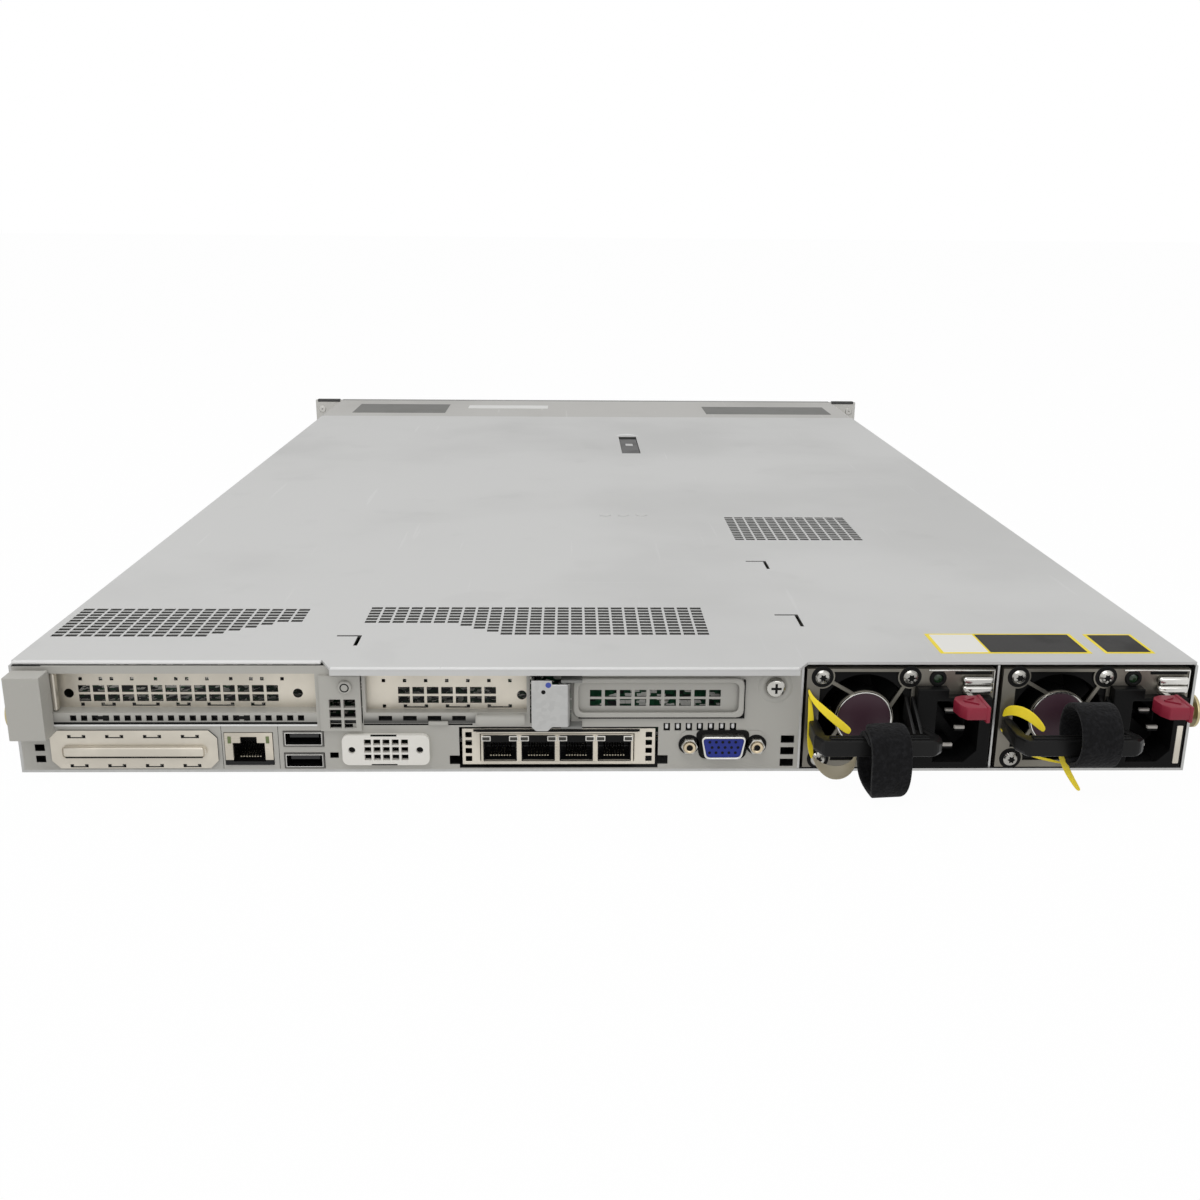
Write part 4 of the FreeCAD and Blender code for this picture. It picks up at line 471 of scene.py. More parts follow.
def cages():
    """The shelf inside carries small parts, seen in glimpses as spots of colour. The rest of the inside
    gets painted shade, and the foot of the ledge a painted shadow.
    """
    skin = painted("riser_cages", WARM_PANEL, 0.45, 0.12, 0.10)
    depth, height = skin.along("Y"), skin.along("Z")
    skin.overlay(((height < LEDGE_TOP) * (depth > REAR + 0.25)).most(depth > REAR + 6.9), PAINTED_SHADE)
    shelf = skin.near("Z", SHELF_Z, 0.05) * (depth > REAR + 7.0)
    pick = skin.cells(520.0, "Color", distance="CHEBYCHEV")
    skin.overlay(shelf * (pick > 0.42), (0.02, 0.075, 0.03))
    skin.overlay(shelf * (pick > 0.60), (0.85, 0.83, 0.76))
    # painted shadow at the foot of the ledge: strong under slot 2, faint under slot 1
    fall = (1 - skin.between(height, 19.9, 23.0)) * (depth < REAR + 0.25)
    skin.overlay(fall * skin.near("X", -69.9, 20.5) * 0.92, SHADOW)
    return skin.overlay(fall * skin.near("X", -156.0, 48.6) * 0.35, SHADOW)


special.update({
    "chassis_pan": pan(),
    "top_cover": cover(),
    "riser_cages": cages(),
    "rear_panel": cut_sheet("rear_panel", WARM_PANEL, 0.0),
    "slot_cover_1": cut_sheet("slot_cover_1", NICKEL, 6.0, 0.6),
    "slot_cover_2": cut_sheet("slot_cover_2", NICKEL, 4.0, 0.6),
    "slot_cover_3": cut_sheet("slot_cover_3", WARM_PANEL, 1.0),
    "lower_blank_plate": cut_sheet("lower_blank_plate", NICKEL, -0.8, 0.6),
    "front_top_plate": top_plate(),
})
print(len(special), "solids with a finish of their own")

# %% [markdown]
# The solids arrive with knife-sharp edges. Real sheet is rolled over a little at its edges and moulded
# parts are rounded, which is what catches the light. A Weld joins the loose triangles, then a Bevel
# limited by angle rounds the edges. The perforated sheets keep their crisp holes.

# %% Dress the solids
ROUNDED = {
    "rack_ears": 0.5, "drive_carrier": 0.4, "drive_lever": 0.4, "drive_fillers": 0.4, "power_button": 0.4,
    "uid_button": 0.4, "slot_latch_left": 0.35, "slot_latch_mid": 0.25, "panel_screws": 0.35,
    "psu_1_handle": 1.3, "psu_2_handle": 1.3, "psu_1_inlet": 0.4, "psu_2_inlet": 0.4, "cover_latch": 0.4,
    "cover_latch_tray": 0.3, "usb_ports": 0.15, "network_ports": 0.2, "lan_bracket": 0.2, "rail_studs": 0.5,
    "psu_bay_walls": 0.2, "front_top_plate": 0.3, "latch_hinges": 0.25,
}
for name, solid in nodes.items():
    chosen = special.get(name) or finishes[slot_of[name]]
    for place in solid.material_slots:
        place.material = chosen.material
    if name in ROUNDED:
        weld = solid.modifiers.new("weld", "WELD")
        weld.merge_threshold = 0.00001
        rounding = solid.modifiers.new("rounding", "BEVEL")
        rounding.width = ROUNDED[name] * MM
        rounding.segments = 2
        rounding.limit_method = "ANGLE"
        rounding.angle_limit = math.radians(40)
        rounding.use_clamp_overlap = True
print("rounded", len(ROUNDED), "solids")

# %% [markdown]
# New pieces are made the way a modeller works by hand: a primitive at its size and place, then edit mode,
# then modifiers that are applied. These helpers keep that short. All sizes below are in millimetres, in
# the frame of the solids, and a finished piece sits at the origin with its place in its mesh.

# %% Modelling helpers
def only(piece):
    bpy.ops.object.select_all(action="DESELECT")
    piece.select_set(True)
    bpy.context.view_layer.objects.active = piece


@contextmanager
def editing(piece):
    only(piece)
    bpy.ops.object.mode_set(mode="EDIT")
    bpy.ops.mesh.select_all(action="SELECT")
    yield
    bpy.ops.object.mode_set(mode="OBJECT")


def fresh(name):
    piece = bpy.context.active_object
    piece.name = name
    bpy.ops.object.transform_apply(location=True, rotation=True, scale=True)
    return piece


def smooth(piece, angle=35):
    only(piece)
    bpy.ops.object.shade_smooth_by_angle(angle=math.radians(angle))
    return piece


def applied(piece, kind, **settings):
    modifier = piece.modifiers.new(kind, kind)
    for key, value in settings.items():
        setattr(modifier, key, value)
    only(piece)
    bpy.ops.object.modifier_apply(modifier=modifier.name)


def dress(piece, body, slot, finish=None):
    """Gives a piece its finish, the slot's own unless one is given, and the body that it moves with."""
    piece.data.materials.clear()
    piece.data.materials.append((finish or finishes[slot]).material)
    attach(piece, body)
    return piece


print("helpers ready")

# %% [markdown]
# The straps come first, because they are soft. Each is a band of black felt about 14 mm wide. The first
# is a loop that hangs from the handle's bar with its end trimmed to a blunt point. The second is wound
# round the bar as a ring. A cloth simulation could drop them in place, but strips laid along a path give
# the same folds on every run.

# %% Straps
FELT, FELT_WIDE = 2.2, 14.4
BAR_OUT = -23.0  # front of the handles' bars, from the rear wall


def strip(name, path, across, widths, thickness, levels=2):
    """A band along a path of points. Its width at each point is set along a direction or a list of them."""
    bpy.ops.object.select_all(action="DESELECT")
    count = len(path)
    bpy.ops.mesh.primitive_grid_add(x_subdivisions=count - 1, y_subdivisions=2, size=MM)
    piece = fresh(name)
    for index, corner in enumerate(piece.data.vertices):
        step, row = index % count, index // count
        sideways = Vector(across[step] if isinstance(across, list) else across).normalized()
        corner.co = (Vector(path[step]) + sideways * (row - 1) * widths[step] / 2) * MM
    applied(piece, "SUBSURF", levels=levels, render_levels=levels)
    applied(piece, "SOLIDIFY", thickness=thickness * MM, offset=0.0)
    applied(piece, "BEVEL", width=thickness * 0.3 * MM, segments=2, limit_method="ANGLE")
    return smooth(piece, 50)


def hanging_strap():
    """Points of the loop: back from the bar's middle, height, and width."""
    x, middle = SUPPLY_X["psu_1"] + 24.6, REAR + BAR_OUT + 3.0
    loop = [
        (-6.4, 20.9, 14.4), (-4.0, 23.0, 14.4), (0.0, 23.5, 14.4), (3.6, 22.5, 14.4), (5.2, 19.0, 14.4),
        (5.4, 12.0, 14.4), (5.0, 6.4, 13.8), (2.4, 2.9, 11.4), (-2.0, 1.8, 9.6), (-6.4, 2.3, 10.4),
        (-9.3, 4.9, 13.2), (-10.3, 10.0, 14.4), (-10.3, 16.0, 14.4), (-9.5, 21.0, 14.4), (-6.9, 24.5, 14.4),
        (-2.6, 26.0, 14.4), (1.8, 25.8, 14.4),
    ]
    turn = math.radians(6)
    path = [(x - out * math.sin(turn), middle + out * math.cos(turn), z) for out, z, _ in loop]
    across = (math.cos(turn), math.sin(turn), 0)
    return strip("psu_1_strap_felt", path, across, [width for _, _, width in loop], FELT), path


def rolled_strap():
    """The inner end lies under the bar; from there the band opens into a ring."""
    x, middle, z = SUPPLY_X["psu_2"] + 26.2, REAR + BAR_OUT + 2.7, 23.1
    path = []
    for step in range(31):
        angle = math.radians(-112 + step * 15)
        radius = 10.4 + 0.026 * step - 1.7 * max(0.0, 1 - step / 4) ** 2
        path.append((x, middle + radius * math.cos(angle), z + radius * math.sin(angle)))
    return strip("psu_2_strap_felt", path, (1, 0, 0), [FELT_WIDE] * len(path), FELT * 0.8, 1), path


for supply, make in (("psu_1", hanging_strap), ("psu_2", rolled_strap)):
    band, path = make()
    dress(band, supply, "strap_felt")
    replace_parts(band, f"{supply}_strap")

# %% [markdown]
# Most other pieces are an outline drawn out along an axis, or a profile turned about one. Curves with
# bevels could give these too, but a mesh from the start can be cut by a Boolean and keeps few faces.

# %% Drawn-out and turned shapes
def outlined(name, corners, fill="NOTHING"):
    bpy.ops.object.select_all(action="DESELECT")
    bpy.ops.mesh.primitive_circle_add(vertices=len(corners), radius=MM, fill_type=fill)
    piece = fresh(name)
    for vertex, corner in zip(piece.data.vertices, corners):
        vertex.co = Vector(corner) * MM
    return piece


def prism(name, outline, start, sweep, rounding=0.0):
    """An outline drawn out along one axis. It lies across that axis at start: (Y, Z), (X, Z) or (X, Y)."""
    axis = max(range(3), key=lambda i: abs(sweep[i]))
    piece = outlined(name, [(*pair[:axis], start, *pair[axis:]) for pair in outline], "NGON")
    with editing(piece):
        move = {"value": [part * MM for part in sweep]}
        bpy.ops.mesh.extrude_region_move(TRANSFORM_OT_translate=move)
        bpy.ops.mesh.select_all(action="SELECT")
        bpy.ops.mesh.normals_make_consistent(inside=False)
        if rounding:
            bpy.ops.mesh.bevel(offset=rounding * MM, segments=2, affect="EDGES")
    return smooth(piece)


def turned(name, profile, centre, steps=32):
    """A profile of (radius, distance out from the wall) turned about Y through the centre."""
    x, y, z = centre
    piece = outlined(name, [(x + radius, y - out, z) for radius, out in profile])
    with editing(piece):
        middle = [part * MM for part in centre]
        bpy.ops.mesh.spin(steps=steps, angle=2 * math.pi, center=middle, axis=(0, 1, 0))
        bpy.ops.mesh.select_all(action="SELECT")
        bpy.ops.mesh.remove_doubles(threshold=0.000002)
        bpy.ops.mesh.normals_make_consistent(inside=False)
    return smooth(piece)


def carve(piece, tool):
    applied(piece, "BOOLEAN", object=tool)
    bpy.data.objects.remove(tool)
    return smooth(piece, 30)


def group(name, pieces, body, slot, finish=None):
    """Joins pieces into one and dresses it."""
    bpy.ops.object.select_all(action="DESELECT")
    for piece in pieces:
        piece.select_set(True)
    bpy.context.view_layer.objects.active = pieces[0]
    bpy.ops.object.join()
    pieces[0].name = name
    return dress(pieces[0], body, slot, finish)


print("shapes ready")

# %% [markdown]
# The stamped fan guard of each power supply carries a round plate, in plum with a bright rim, and four
# pan-head screws with a six-lobed recess. Plate, rim and head are turned. The recess is cut with a
# Boolean, once, and all eight screws are copies of that one.

# %% Fan plates and screws
plum = moulded("hub_plum", (0.052, 0.024, 0.035), 0.38, 0.01, 0.10, 0.25)
# black for black parts, and painted shade for dark plugs, backings, washers and marks in recesses, holes
# and cuts
black_and_shade = moulded("black_and_painted_shade", INK, 0.6, 0.03, 0.04, 0.12)
steel = plated("screw_steel", (0.46, 0.45, 0.42), 0.24, 0.35, 0.004)
FAN_X, FAN_Z, SCREW_PITCH = 21.95, 21.3, 32.5
SCREW_DOME = [(0, -0.3), (0, 1.75), (1.2, 1.7), (2.2, 1.35), (2.75, 0.7), (2.85, 0.1), (2.85, -0.3)]
SCREW_SEAT = [(2.2, 0.0), (2.2, 0.22), (3.9, 0.22), (4.1, 0.0)]
HUB_FACE = [(0, 0), (0, 0.5), (9.5, 0.5), (9.95, 0.3), (9.95, 0)]
HUB_RIM = [(9.9, 0), (9.9, 0.5), (10.1, 0.7), (10.4, 0.65), (10.6, 0.3), (10.6, 0)]


def star(radius, points=6, waist=0.62):
    reach = [radius, radius * waist] * points
    turns = [math.pi * step / points for step in range(points * 2)]
    return [(far * math.cos(turn), far * math.sin(turn)) for far, turn in zip(reach, turns)]


def copied(piece, shift):
    copy = piece.copy()
    copy.data = piece.data.copy()
    copy.data.transform(Matrix.Translation(Vector(shift) * MM))
    bpy.context.scene.collection.objects.link(copy)
    return copy


screw = turned("screw", SCREW_DOME, (0, REAR, 0))
screw = carve(screw, prism("recess", star(1.55), REAR - 3.0, (0, 2.2, 0)))
# a dark star inside each screw's recess: painted shade in the recess
socket = prism("socket", star(1.5), REAR - 1.3, (0, 0.6, 0))
seat = turned("seat", SCREW_SEAT, (0, REAR, 0))
for supply, left in SUPPLY_X.items():
    heads, black_and_shade_parts = [], []
    for aside in (-0.5, 0.5):
        for rise in (-0.5, 0.5):
            shift = (left + FAN_X + aside * SCREW_PITCH, 0, FAN_Z + rise * SCREW_PITCH)
            heads.append(copied(screw, shift))
            black_and_shade_parts += [copied(seat, shift), copied(socket, shift)]
    group(f"{supply}_fan_screws", heads, supply, "bright_steel", steel)
    group(f"{supply}_screw_seats", black_and_shade_parts, supply, "black_plastic", black_and_shade)
    hub = (left + FAN_X, REAR, FAN_Z)
    dress(turned(f"{supply}_hub_plate", HUB_FACE, hub, 48), supply, "black_plastic", plum)
    dress(turned(f"{supply}_hub_rim", HUB_RIM, hub, 48), supply, "bright_steel")
for spare in (screw, seat, socket):
    bpy.data.objects.remove(spare)
print("two hub plates, eight screws")

# %% [markdown]
# Beside the fan sit a status lamp, unlit, and the release: a crimson thumb tab on a leaf spring whose
# rolled bands show bright. The tab is an outline drawn out upwards, with a lip at its right end and a
# raised chevron. The chevron is two small bars, because a bump in the material would not show at the
# edge. Springs and lip are blocks with rounded edges, given by their ranges: along Y the rear wall counts
# as 0.

# %% Lamp, leaf spring and thumb tab
lens = moulded("lamp_green", (0.012, 0.035, 0.014), 0.12, 0.0, 0.0)
LAMP_X, LAMP_Z = 48.4, 37.0
LAMP_COLLAR = [(1.7, 0), (1.7, 0.5), (2.0, 0.9), (2.8, 0.8), (3.2, 0)]
LAMP_LENS = [(0, -1), (0, 0.6), (1.0, 0.5), (1.75, 0.1), (1.75, -1)]
TAB_Z, TAB_BACK = (28.7, 33.5), -8.0
TAB_NOSE = [
    (51.0, -4.2), (51.7, -9.6), (53.6, -13.0), (61.4, -13.0), (61.4, 0.0), (55.0, 0.0), (52.2, -1.6),
]


def block(name, x, y, z, rounding=0.3, segments=2):
    bpy.ops.object.select_all(action="DESELECT")
    spans = (x, (REAR + y[0], REAR + y[1]), z)
    middle = [(low + high) / 2 * MM for low, high in spans]
    sides = [(high - low) * MM for low, high in spans]
    bpy.ops.mesh.primitive_cube_add(size=1, location=middle, scale=sides)
    piece = fresh(name)
    with editing(piece):
        bpy.ops.mesh.bevel(offset=rounding * MM, segments=segments, affect="EDGES")
    return smooth(piece)


def thumb_tab(supply, left):
    def placed(outline):
        return [(left + x, REAR + TAB_BACK + out) for x, out in outline]

    parts = [prism("tab", placed(TAB_NOSE), TAB_Z[0], (0, 0, TAB_Z[1] - TAB_Z[0]), 0.5)]
    parts.append(block("lip", (left + 60.4, left + 61.9), (TAB_BACK - 13.2, TAB_BACK), (27.6, 33.8), 0.5))
    for tip in (-9.4, -3.2):
        bar = [(54.0, -6.6), (54.0, -6.0), (58.6, tip + 0.5), (58.6, tip - 0.5)]
        parts.append(prism("mark", placed(bar), 33.4, (0, 0, 0.6), 0.12))
    return group(f"{supply}_thumb_tab", parts, f"{supply}_release", "crimson_plastic")


for supply, left in SUPPLY_X.items():
    at = (left + LAMP_X, REAR, LAMP_Z)
    dress(turned(f"{supply}_lamp_collar", LAMP_COLLAR, at), supply, "black_plastic", black_and_shade)
    dress(turned(f"{supply}_lamp_lens", LAMP_LENS, at), supply, "black_plastic", lens)
    spring = [
        block("band", (left + 57.2, left + 68.6), (-2.6, -0.06), z, 1.2, 5)
        for z in ((34.9, 38.1), (31.6, 34.7))
    ]
    spring.append(block("stem", (left + 57.3, left + 59.5), (-8.2, -0.8), (31.7, 33.4)))
    group(f"{supply}_leaf_spring", spring, f"{supply}_release", "bright_steel")
    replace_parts(thumb_tab(supply, left), f"{supply}_release")
    # a black block over the spring: painted shade in the slot above it
    recess = block(f"{supply}_spring_slot", (left + 54.6, left + 68.4), (-0.2, 0.3), (38.5, 39.7), 0.1)
    dress(recess, supply, "black_plastic", black_and_shade)
    bead = [
        block("bead", (left + start, left + 69.3), (-0.7, 0.2), (low, 40.5), 0.2)
        for start, low in ((44.6, 39.95), (68.8, 33.0))
    ]
    group(f"{supply}_edge_bead", bead, supply, "bright_steel")
print("two lamps, two releases")

# %% [markdown]
# The handles are solid already. Ribs along the top of the bar and two webs at the right arm make them
# read as moulded parts. They are pieces of their own, because the solids stay as they are.

# %% Handle ribs and webs
BAR_TOP = 21.6
WEB = [(REAR - 0.05, BAR_TOP - 0.3), (REAR - 15.5, BAR_TOP - 0.3), (REAR - 0.05, 30.0)]
for supply, left in SUPPLY_X.items():
    ribs = []
    for back in (BAR_OUT + 1.7, BAR_OUT + 3.7):
        rise = (BAR_TOP - 0.4, BAR_TOP + 0.55)
        ribs.append(block("rib", (left + 5.5, left + 41.0), (back, back + 0.9), rise, 0.25))
    for x in (36.4, 39.0):
        ribs.append(prism("web", WEB, left + x, (1.1, 0, 0), 0.2))
    group(f"{supply}_handle_ribs", ribs, supply, "black_plastic", handle_black)
print("ribs and webs on two handles")

# %% [markdown]
# Thin tape is tied to each supply. Each run is a narrow strip through a few listed points, given by their
# distance from the supply's left side, out from the wall, and height. The tape is bare: yellow outside and
# tan inside, and one loop shows its inside.

# %% Tape
tape = Finish("yellow_tape", metallic=0.0, roughness=0.45)
fibre = tape.noise(700.0, 2.0, tape.stretched(1.0, 1.0, 0.2))
tape.feed(base_color=tape.mix(fibre, (0.92, 0.70, 0.015), (0.98, 0.80, 0.03)))
tape.relief(fibre, 0.02)
tan = moulded("tape_inside", (0.42, 0.37, 0.26), 0.4, 0.01, 0.10)
TAPE_THICK = 0.25
slant = [(0.6, 0, 1), (0.5, 0, 1), (0.5, 0, 1)]
RUNS = [
    ("psu_1", "upper", tape, [(1, 0, 0.6), (1, 0, 0.9), *slant], [0.8, 1.6, 3.0, 3.0, 2.8],
     [(0.6, 1.2, 33.0), (1.5, 2.4, 30.0), (6.0, 6.0, 26.4), (10.6, 10.0, 23.2), (14.0, 14.0, 21.4)]),
    ("psu_1", "lower", tape, (1, 0.3, 0), [0.8, 2.2, 2.6, 2.2, 1.4],
     [(0.9, 1.2, 30.5), (1.6, 2.6, 25.0), (1.6, 4.0, 18.0), (1.4, 5.0, 12.0), (2.2, 7.0, 8.2)]),
    ("psu_1", "loop", tan, (0.2, 1, 0.9), [1.2, 3.6, 5.4, 5.4, 5.0, 4.4],
     [(2.2, 7.0, 9.0), (4.0, 9.0, 6.2), (8.0, 11.0, 4.0), (13.0, 12.0, 4.6), (16.5, 12.0, 7.5),
      (17.5, 11.0, 11.0)]),
    ("psu_2", "arc", tape, [(0.15, 0, 1), (0, 0, 1), *slant], [3.4, 4.2, 4.2, 3.6, 2.4],
     [(0.8, 1.2, 23.6), (2.4, 3.0, 25.8), (5.8, 6.0, 26.4), (9.6, 9.0, 24.6), (12.4, 13.0, 21.6)]),
    ("psu_2", "edge", tape, (0.2, 0.2, 1), [0.7, 1.0, 1.0, 1.0, 0.8],
     [(0.4, 1.2, 17.5), (4.0, 5.0, 13.2), (10.0, 8.0, 9.6), (16.0, 9.0, 8.4), (21.0, 10.0, 7.6)]),
    ("psu_2", "tail", tape, (1, -0.2, 0.4), [1.6, 2.4, 2.0, 1.6],
     [(17.2, 17.0, 14.6), (18.8, 18.6, 10.4), (21.4, 20.2, 5.6), (24.0, 21.6, 1.8)]),
]
for supply, run, finish, across, widths, points in RUNS:
    path = [(SUPPLY_X[supply] + x, REAR - out, z) for x, out, z in points]
    ribbon = strip(f"{supply}_tape_{run}", path, across, widths, TAPE_THICK)
    dress(ribbon, supply, "white_plastic", finish)
print(len(RUNS), "runs of tape")

# %% [markdown]
# Rims, frames and flanges are flat rings with rounded corners: one outline cut from a larger one. A
# corner is rounded by a short curve between its two sides, which needs fewer points than an arc.

# %% Outlines with round corners
def softened(corners, reach, steps=4):
    points = [Vector(corner) for corner in corners]
    rounded = []
    for before, corner, after in zip(points[-1:] + points, points, points[1:] + points[:1]):
        start = corner + (before - corner).normalized() * reach
        end = corner + (after - corner).normalized() * reach
        for step in range(steps + 1):
            t = step / steps
            rounded.append(tuple(start * (1 - t) ** 2 + corner * (2 * t * (1 - t)) + end * t ** 2))
    return rounded


def rounded_rect(x, z, reach):
    return softened([(x[1], z[1]), (x[0], z[1]), (x[0], z[0]), (x[1], z[0])], reach)


def soften(piece, width):
    bevel = {"limit_method": "ANGLE", "angle_limit": math.radians(50)}
    applied(piece, "BEVEL", width=width * MM, segments=3, **bevel)
    return smooth(piece)


def surround(name, outer, inner, front, depth, rounding):
    """A flat ring between two outlines, whose front stands before the rear wall."""
    ring = prism(name, outer, REAR - front, (0, depth, 0))
    return soften(carve(ring, prism("hole", inner, REAR - front - 1, (0, depth + 2, 0))), rounding)


print("round corners ready")

# %% [markdown]
# The sockets need their small parts. Every network jack has eight contacts low in its well and two lamp
# windows in its upper corners: dark panes in pale frames on the gang of four, and narrow green ones on
# the single jack. Thin rings mark the mouths of the wells and of the USB shells, because a bevel on the
# solid alone is too fine to show.

# %% Jack contacts, lamp windows and rims
contact_gold = plated("contact_gold", (0.46, 0.42, 0.33), 0.25, 0.1, 0.0)
pane_tan = moulded("window_tan", (0.03, 0.027, 0.02), 0.25, 0.0, 0.05)
pane_green = moulded("window_green", (0.13, 0.17, 0.06), 0.25, 0.0, 0.05)
GANG_X = [-47.5 + 14.15 * (i + 0.5) for i in range(4)]
GANG_SILL, SINGLE_SILL = 5.6, 5.3  # feet of the contacts
CONTACT_PITCH, CONTACT_WIDE, CONTACT_THICK = 1.02, 0.5, 0.4
USB_X, USB_LOW, USB_SIZE = -120.2, (1.6, 10.3), (14.7, 6.0)


def box_of(node):
    """The two corners of a solid's box, in millimetres."""
    return [[part / MM for part in corner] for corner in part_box(node)]


def about(middle, half):
    return (middle - half, middle + half)


wires, frames, panes, rims = [], [], [], []
for x, sill in [*((x, GANG_SILL) for x in GANG_X), (SINGLE_X, SINGLE_SILL)]:
    low, high = (REAR + 1.8, sill), (REAR + 9.0, sill + 3.0)
    slope = [low, high, (high[0], high[1] + CONTACT_THICK), (low[0], low[1] + CONTACT_THICK)]
    for place in range(8):
        start = x + (place - 3.5) * CONTACT_PITCH - CONTACT_WIDE / 2
        wires.append(prism("wire", slope, start, (CONTACT_WIDE, 0, 0)))
for x in GANG_X:
    for middle in (x - 5.1, x + 5.1):
        frames.append(block("frame", about(middle, 1.7), (-0.85, 0), (12.5, 14.5), 0.15))
        panes.append(block("pane", about(middle, 1.35), (-0.95, -0.3), (12.85, 14.15), 0.1))
    outer = rounded_rect(about(x, 6.2), (4.4, 14.8), 0.4)
    rims.append(surround("rim", outer, rounded_rect(about(x, 5.8), (4.6, 12.0), 0.2), 0.52, 0.14, 0.03))
lamps = [
    block("lamp", about(middle, 0.65), (-0.6, 0), (11.6, 14.4), 0.2) for middle in about(SINGLE_X, 7.0)
]
usb_front = REAR - box_of("usb_ports")[0][1] + 0.05
usb_rims = []
for low in USB_LOW:
    outer, inner = [
        rounded_rect((USB_X + t, USB_X + USB_SIZE[0] - t), (low + t, low + USB_SIZE[1] - t), 0.3)
        for t in (0.5, 0.78)
    ]
    usb_rims.append(surround("rim", outer, inner, usb_front, 0.3, 0.05))
group("usb_rims", usb_rims, "chassis", "port_shell")
group("gang_well_rims", rims, "chassis", "black_plastic", black_and_shade)
group("jack_contacts", wires, "chassis", "stud_brass", contact_gold)
group("gang_window_frames", frames, "chassis", "white_plastic")
group("gang_window_panes", panes, "chassis", "white_plastic", pane_tan)
group("single_lamp_windows", lamps, "chassis", "white_plastic", pane_green)
print(len(wires), "contacts,", len(panes) + len(lamps), "windows")

# %% [markdown]
# The rear edge of the cover is rolled over, and the roll is painted lighter than the cover: a painted
# highlight for the bright line along it. The left run also closes the gap above the rear wall. Slot 3 has a
# raised frame, pressed out of the wall. Both are thin pieces laid on the sheet, which catch the light where
# the plain solid would not.

# %% Rolled edge and frame
# a lighter paint: painted highlight on the cover's folds, the wall's crest and the scoop's rim; the bars
# behind the squares take it as their pale colour
pale_highlight_paint = painted("pale_highlight_paint", (0.78, 0.78, 0.77), 0.32, 0.08, 0.05)
folds = [
    block("fold", (-216.8, -105.2), (1.2, 3.5), (41.75, 42.97), 0.5, 3),
    block("fold", (-100.8, 68.8), (-5.5, -4.1), (42.0, 42.97), 0.45, 3),
]
group("cover_folds", folds, "cover", "cover_paint", pale_highlight_paint)
outer = rounded_rect((-13.4, 49.7), (21.9, 37.4), 3.0)
inner = rounded_rect((-11.4, 47.6), (23.9, 35.5), 2.4)
dress(surround("slot_3_frame", outer, inner, 1.3, 1.4, 0.55), "chassis", "painted_panel")
print("folds and frame made")

# %% [markdown]
# The video port has its own model, because rounded corners matter on it: a bright shell like a flattened D,
# a blue insert with fifteen contact holes, and two hexagonal standoffs with gilt collars. Behind them the
# wall is cut away, which shows as black: the black backing, the dark washers under the standoffs and the
# dark discs in the holes and bores are painted shade. Each part is an outline drawn out from the wall.

# %% Video port
VIDEO_X, VIDEO_Z = 42.3, 10.95
PORT_FLANGE = (31.4, 10.8)
POST_SIDES, POST_FRONT = (-12.5, 12.5), REAR - 3.1
POST_COLLAR = [(1.2, 0), (1.2, 0.7), (1.6, 0.95), (2.1, 0.85), (2.5, 0)]
SHELL_OUT = 4.2
INSERT_FRONT = REAR - 3.5
HOLE_PITCH, ROW_PITCH = 2.4, 2.1
gilt = plated("standoff_gilt", (0.56, 0.47, 0.33), 0.26, 0.2, 0.004)
insert_blue = moulded("insert_blue", (0.022, 0.036, 0.25), 0.36, 0.01, 0.05, 0.2)


def tapered(width, height, reach, slant=1.6):
    half, rise = width / 2, height / 2
    corners = [(half - slant, -rise), (half, rise), (-half, rise), (slant - half, -rise)]
    return softened([(VIDEO_X + x, VIDEO_Z + z) for x, z in corners], reach)


def ring_of(radius, count, middle):
    turns = [2 * math.pi * step / count for step in range(count)]
    return [(middle[0] + radius * math.cos(a), middle[1] + radius * math.sin(a)) for a in turns]


def disc(name, radius, place, thick, bore=0.0):
    """A flat disc or washer that faces the rear; its back is at the place."""
    profile = [(bore, 0), (bore, thick), (radius - thick / 2, thick), (radius, thick / 2), (radius, 0)]
    return turned(name, profile, place)


flange = rounded_rect(about(VIDEO_X, PORT_FLANGE[0] / 2), about(VIDEO_Z, PORT_FLANGE[1] / 2), 3.0)
dress(prism("video_flange", flange, REAR - 0.3, (0, 0.25, 0)), "chassis", "painted_panel")
outer, inner = tapered(16.8, 8.9, 1.9), tapered(15.4, 7.5, 1.4)
shell = surround("video_shell", outer, inner, SHELL_OUT, SHELL_OUT - 0.3, 0.25)
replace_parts(dress(shell, "chassis", "port_shell"), "video_port")
insert = prism("video_insert", tapered(15.5, 7.6, 1.4), INSERT_FRONT, (0, 3.2, 0))
dress(insert, "chassis", "blue_plastic", insert_blue)
black_and_shade_parts = [prism("backing", tapered(20.4, 11.4, 2.6), REAR - 0.45, (0, 0.3, 0))]
for row in (-1, 0, 1):
    for place in range(5):
        x = VIDEO_X + (place - 2) * HOLE_PITCH + (0.6 if row == 0 else -0.3)
        black_and_shade_parts.append(disc("contact", 0.55, (x, INSERT_FRONT, VIDEO_Z + 0.1 + ROW_PITCH * row), 0.06))
posts, collars = [], []
for aside in POST_SIDES:
    x = VIDEO_X + aside
    posts.append(prism("post", ring_of(3.2, 6, (x, VIDEO_Z)), POST_FRONT, (0, 2.9, 0), 0.3))
    collars.append(turned("collar", POST_COLLAR, (x, POST_FRONT, VIDEO_Z)))
    black_and_shade_parts.append(disc("bore", 1.3, (x, POST_FRONT, VIDEO_Z), 0.1))
    black_and_shade_parts.append(disc("washer", 3.9, (x, REAR - 0.3, VIDEO_Z), 0.15))
group("video_posts", posts, "chassis", "port_shell", steel)
group("video_collars", collars, "chassis", "stud_brass", gilt)
group("video_dark_parts", black_and_shade_parts, "chassis", "black_plastic", black_and_shade)
print("video port with fifteen contacts")

